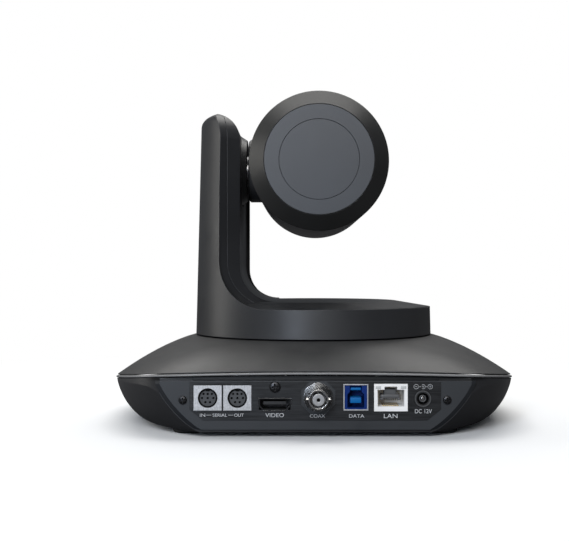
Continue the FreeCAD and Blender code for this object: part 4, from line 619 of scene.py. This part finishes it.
# piece, words, place along X and Z, width and height
NAMES = [("name_in", "IN", 54.9, 11.3, 2.6, 1.5), ("name_serial", "SERIAL", 46.5, 11.3, 7.0, 1.5),
         ("name_out", "OUT", 37.2, 11.3, 4.6, 1.5), ("name_video", "VIDEO", 19.9, 11.3, 9.0, 1.9),
         ("name_coax", "COAX", -0.9, 10.9, 7.4, 1.6), ("name_data", "DATA", -19.9, 10.9, 7.4, 1.6),
         ("name_lan", "LAN", -36.4, 10.9, 6.6, 2.0),
         ("name_power", "DC 12V", -52.3, 13.2, 8.2, 2.0)]
for name, words, x, z, width, height in NAMES:
    printed(name, words, x, z, width, height)

# polarity symbol: a ring with a sign at each side, an open ring and a dot between them
SYMBOL_X, SYMBOL_Z, SYMBOL_STEP = -52.2, 25.1, 3.4
SIGN_RING, SIGN_HALF, PLUG_RING, DOT = 1.1, 0.55, 1.0, 0.25
NAME_ROW = 11.3
strokes = [line(53.2, NAME_ROW, 50.6, NAME_ROW), line(42.4, NAME_ROW, 40.0, NAME_ROW)]
for side in (-1, 1):
    place = SYMBOL_X + side * SYMBOL_STEP
    strokes += [ring(place, SYMBOL_Z, SIGN_RING),
                line(place - SIGN_HALF, SYMBOL_Z, place + SIGN_HALF, SYMBOL_Z),
                line(place - side * SIGN_RING, SYMBOL_Z, SYMBOL_X + side * PLUG_RING, SYMBOL_Z)]
plus_x = SYMBOL_X - SYMBOL_STEP
strokes += [line(plus_x, SYMBOL_Z - SIGN_HALF, plus_x, SYMBOL_Z + SIGN_HALF),
            ring(SYMBOL_X, SYMBOL_Z, PLUG_RING, 50, 310), ring(SYMBOL_X, SYMBOL_Z, DOT)]
piece("printed_lines", [stroke(points) for points in strokes], "base", white_print)

# ------------------------------------------------------------------ small socket parts


def cushion_block(centre, half, power=8.0, rows=17, columns=32):
    """A block with soft corners: a superellipsoid of three half sizes round a centre."""
    a = np.linspace(-math.pi / 2, math.pi / 2, rows)[:, None]
    b = np.linspace(0, FULL_TURN, columns, endpoint=False)[None, :]

    def soft(value):
        return np.sign(value) * np.abs(value) ** (2 / power)

    unit = np.stack([soft(np.cos(a)) * soft(np.cos(b)), soft(np.cos(a)) * soft(np.sin(b)),
                     soft(np.sin(a)) + 0 * b], axis=-1)
    return (np.array(centre) + unit * np.array(half)) * MM


def seat(node):
    """Middle along X, place of the rear face, middle along Z and half the width of a node."""
    low, high = (np.array(corner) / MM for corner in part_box(node))
    return (low[0] + high[0]) / 2, high[1], (low[2] + high[2]) / 2, (high[0] - low[0]) / 2


def socket_block(place, offset, half, *shape):
    """A soft block set off from the middle of a socket's rear face."""
    return cushion_block([p + o for p, o in zip(place, offset)], half, *shape)


def turned_ring(place, radii, lengths):
    """A ring turned round a socket's axis, from radii and lengths in millimetres."""
    return turned(radii * MM, lengths * MM, [p * MM for p in place], "Y")


lan = seat("lan_jack_body")[:3]
CONTACTS, CONTACT_STEP = 8, 1.02
carrier = [socket_block(lan, (0.0, -6.4, 2.3), (3.15, 2.6, 1.5)),
           socket_block(lan, (0.0, -6.0, 0.2), (4.85, 2.6, 1.0)),
           socket_block(lan, (-4.3, -6.0, -1.1), (0.7, 2.6, 0.5)),
           socket_block(lan, (4.3, -6.0, -1.1), (0.7, 2.6, 0.5))]
carrier += [socket_block(lan, (CONTACT_STEP * (k - (CONTACTS - 1) / 2), -5.9, -1.2),
                         (0.24, 2.5, 0.6)) for k in range(CONTACTS)]
piece("lan_contact_carrier", carrier, "base", ring_grey)
lights = [socket_block(lan, (side * 6.1, -0.35, 4.9), (1.35, 0.5, 0.75)) for side in (-1, 1)]
piece("lan_light_windows", lights, "base", frosted_light)

# radii and rear-facing lengths of the turned rings' sections
SHADE_RING_R = np.array([3.95, 3.95, 4.1, 4.5, 4.75, 4.75, 3.95])
SHADE_RING_Y = np.array([-0.5, 0.02, 0.07, 0.09, 0.04, -0.5, -0.5])
OUTER_STEPS = np.array([0.0, 0.0, 0.12, 0.42, 0.54, 0.54, 0.0])
OUTER_Y = np.array([-0.6, 0.1, 0.22, 0.22, 0.1, -0.6, -0.6])
INNER_R, INNER_DROP = np.array([1.15, 1.15, 1.3, 1.55, 1.7, 1.7, 1.15]), 1.2

for which in ("in", "out"):
    # painted shade: a black ring round each DIN insert and a black block at its key stand in for
    # the shade of the recess
    din = seat("din_jack_shell_" + which)[:3]
    piece("din_shade_ring_" + which, [turned_ring(din, SHADE_RING_R, SHADE_RING_Y)], "base", painted_recess_shade)
    piece("din_key_shade_" + which, [socket_block(din, (0.0, -0.2, 3.9), (0.95, 0.32, 0.5))], "base",
          painted_recess_shade)

SQUARE_CORNERS = 14.0
usb = seat("data_jack_shell")[:3]
piece("data_tongue_faces",
      [socket_block(usb, (0.0, -6.2, -1.6), (2.84, 4.7, 1.44), SQUARE_CORNERS),
       socket_block(usb, (0.0, -6.2, 3.9), (2.64, 4.7, 0.64), SQUARE_CORNERS)],
      "base", tongue_blue)

*dc, dc_radius = seat("power_jack_body")
piece("power_rings", [turned_ring(dc, dc_radius - OUTER_STEPS, OUTER_Y),
                      turned_ring(dc, INNER_R, OUTER_Y - INNER_DROP)],
      "base", ring_grey)

VIDEO_EDGE = [(28.0, 19.5), (27.7, 16.2), (25.5, 13.5), (14.2, 13.5), (11.9, 16.2), (11.7, 19.5),
              (28.0, 19.5)]
VIDEO_STROKE = 0.3
outline = [stroke(line(*start, *end), VIDEO_STROKE)
           for start, end in zip(VIDEO_EDGE, VIDEO_EDGE[1:])]
piece("video_socket_outline", outline, "base", nut_metal)


def threaded_nut(centre, inner, outer, ridges, steps=96):
    """Coax nut: six soft corners and concentric thread ridges. The rim's radius falls short of
    outer by a share that rises and falls six times round. The height starts at a crest, falls
    with the square of the share of the way out to the rim, and rises and falls once for each
    ridge; then come the side and the flat back."""
    corners, corner_cut, crest, fall, ridge, back = 6, 0.045, 0.3, 0.4, 0.22, 1.9
    t = np.linspace(0, FULL_TURN, steps, endpoint=False)
    share = np.linspace(0, 1, 12 * ridges)[:, None]
    rim = outer * (1 - corner_cut * (1 + np.cos(corners * t)) / 2)
    radii = inner + (rim - inner) * share
    heights = crest - fall * share ** 2 + ridge * np.sin(FULL_TURN * ridges * share) + 0 * t
    radii = np.concatenate([radii, radii[-1:], inner + 0 * radii[:1], radii[:1]])
    heights = np.concatenate([heights, 0 * heights[:1] - back, 0 * heights[:1] - back,
                              heights[:1]])
    grid = np.stack([radii * np.cos(t), heights, radii * np.sin(t)], axis=-1)
    return (grid + np.array(centre)) * MM


NUT_BORE, NUT_RIDGES, NUT_SINK = 4.8, 4, 0.6
nut_x, nut_face, nut_z, nut_radius = seat("coax_jack_nut")
nut = piece("coax_thread_nut",
            [threaded_nut((nut_x, nut_face - NUT_SINK, nut_z), NUT_BORE, nut_radius, NUT_RIDGES)],
            "base", nut_metal)
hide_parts("coax_jack_nut")

RIBS, RIB_STEP, LOWEST_RIB = 17, 0.62, (60.2, 90.45, 15.2)
ribs = [socket_block(LOWEST_RIB, (0.0, 0.0, RIB_STEP * k), (0.75, 0.08, 0.16), 6.0, 9, 16)
        for k in range(RIBS)]
piece("label_slot_ribs", ribs, "base", socket_black)

# ------------------------------------------------------------------ lens rings


def ridged_ring(inner, outer, front, back, ridges):
    """Stepped baffle between window and lens: the radius falls inwards in equal steps, each with a
    flat and a short wall."""
    step = np.repeat(np.linspace(0, 1, ridges + 1), 2)
    radii = outer + (inner - outer) * step[:-1]
    lengths = front + (back - front) * step[1:]
    wall, floor = outer + 0.4, back + 0.8
    radii = np.concatenate([radii, [inner, wall, wall, outer]])
    lengths = np.concatenate([lengths, [floor, floor, front, front]])
    return radii * MM, lengths * MM


BAFFLE_INNER, BAFFLE_OUTER, BAFFLE_FRONT, BAFFLE_BACK, BAFFLE_STEPS = 24.6, 29.2, 0.2, 3.2, 6
bezel_low, bezel_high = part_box("front_bezel")
bezel_x, bezel_z = (bezel_low.x + bezel_high.x) / 2, (bezel_low.z + bezel_high.z) / 2
window_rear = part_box("front_window")[1].y
radii, lengths = ridged_ring(BAFFLE_INNER, BAFFLE_OUTER, BAFFLE_FRONT, BAFFLE_BACK, BAFFLE_STEPS)
baffle = turned(radii, lengths, (bezel_x, window_rear, bezel_z), "Y", 128)
piece("lens_baffle", [baffle], "head", lens_black)

# ------------------------------------------------------------------ floor, light and camera


def emitter(name, at, look, size, power, colour):
    """Rectangular soft light at a place, looking at a point; size is its width and height."""
    lamp = bpy.data.lights.new(name, "AREA")
    lamp.shape = "RECTANGLE"
    lamp.size, lamp.size_y = size
    lamp.energy = power
    lamp.color = colour
    holder = bpy.data.objects.new(name, lamp)
    holder.location = at
    aim = np.array(look) - np.array(at)
    yaw, pitch = math.atan2(-aim[0], aim[1]), math.atan2(aim[2], math.hypot(aim[0], aim[1]))
    holder.rotation_euler = (math.pi / 2 + pitch, 0.0, yaw)
    bpy.context.scene.collection.objects.link(holder)


def make_floor():
    """Pale floor that fades into the pale surroundings: a shaded patch round the object, plain
    white further out. Its bounce on the object is kept low."""
    mesh = bpy.data.meshes.new("floor")
    far, fade_starts, fade_ends = 6.0, 0.15, 0.42
    corners = [(-far, -far, 0), (far, -far, 0), (far, far, 0), (-far, far, 0)]
    mesh.from_pydata(corners, [], [(0, 1, 2, 3)])
    floor = bpy.data.objects.new("floor", mesh)
    bpy.context.scene.collection.objects.link(floor)
    made, tree, shader, place = finish_of("Pale Floor")
    reach = add(tree, "VectorMath", operation="LENGTH")
    feed(tree, reach.inputs[0], place)
    shader.inputs["Base Color"].default_value = (0.86, 0.87, 0.88, 1.0)
    shader.inputs["Roughness"].default_value = 0.8
    shader.inputs["Specular IOR Level"].default_value = 0.0
    plain = add(tree, "Emission", Color=(1.0, 1.0, 1.0, 1.0), Strength=1.0)
    dim = add(tree, "BsdfDiffuse", Color=(0.10, 0.10, 0.105, 1.0))
    fade = add(tree, "MixShader")
    feed(tree, fade.inputs[0], stretch(tree, reach.outputs["Value"], fade_starts, fade_ends))
    feed(tree, fade.inputs[1], shader.outputs[0])
    feed(tree, fade.inputs[2], plain.outputs[0])
    seen = add(tree, "MixShader", Fac=add(tree, "LightPath").outputs["Is Camera Ray"])
    feed(tree, seen.inputs[1], dim.outputs[0])
    feed(tree, seen.inputs[2], fade.outputs[0])
    feed(tree, tree.nodes["Material Output"].inputs["Surface"], seen.outputs[0])
    mesh.materials.append(made)


def make_surroundings():
    """White where the camera looks past the object, dim and faintly cool where it lights it."""
    world = bpy.data.worlds.new("Pale Room")
    world.use_nodes = True
    tree = world.node_tree
    backing = tree.nodes["Background"]
    backing.inputs["Color"].default_value = (1.0, 1.0, 1.0, 1.0)
    room = add(tree, "Background", Color=(0.72, 0.76, 0.82, 1.0), Strength=0.16)
    seen = add(tree, "MixShader", Fac=add(tree, "LightPath").outputs["Is Camera Ray"])
    feed(tree, seen.inputs[1], room.outputs[0])
    feed(tree, seen.inputs[2], backing.outputs[0])
    feed(tree, tree.nodes["World Output"].inputs["Surface"], seen.outputs[0])
    bpy.context.scene.world = world


make_floor()
make_surroundings()
MIDDLE = (0.0, 0.0, 0.09)
SOFT_WHITE, COOL, WARM = (1.0, 0.985, 0.96), (0.74, 0.84, 1.0), (1.0, 0.98, 0.93)
emitter("overhead", (0.0, -0.35, 1.0), MIDDLE, (1.3, 0.8), 12.5, SOFT_WHITE)
emitter("cool_strip", (0.34, 1.10, 0.34), MIDDLE, (0.16, 0.9), 6.5, COOL)
emitter("front_soft", (0.15, 1.40, 0.75), MIDDLE, (1.0, 0.6), 12.5, SOFT_WHITE)
emitter("left_fill", (1.20, -0.15, 0.35), MIDDLE, (0.4, 0.7), 4.0, WARM)

# the camera looks level along -Y; the object's axis stands a little to one side of the frame
FRAME_WIDTH, AXIS_ASIDE = 569, 15.5
camera = bpy.data.objects.new("view_camera", bpy.data.cameras.new("view_camera"))
camera.location = (0.0076, 0.600, 0.0815)
camera.rotation_euler = (math.pi / 2, 0.0, math.pi)
camera.data.sensor_width = 36.0
camera.data.lens = 66.43
camera.data.shift_x = -AXIS_ASIDE / FRAME_WIDTH
camera.data.clip_start = 0.01
bpy.context.scene.collection.objects.link(camera)
bpy.context.scene.camera = camera
bpy.context.scene.view_settings.view_transform = "Standard"
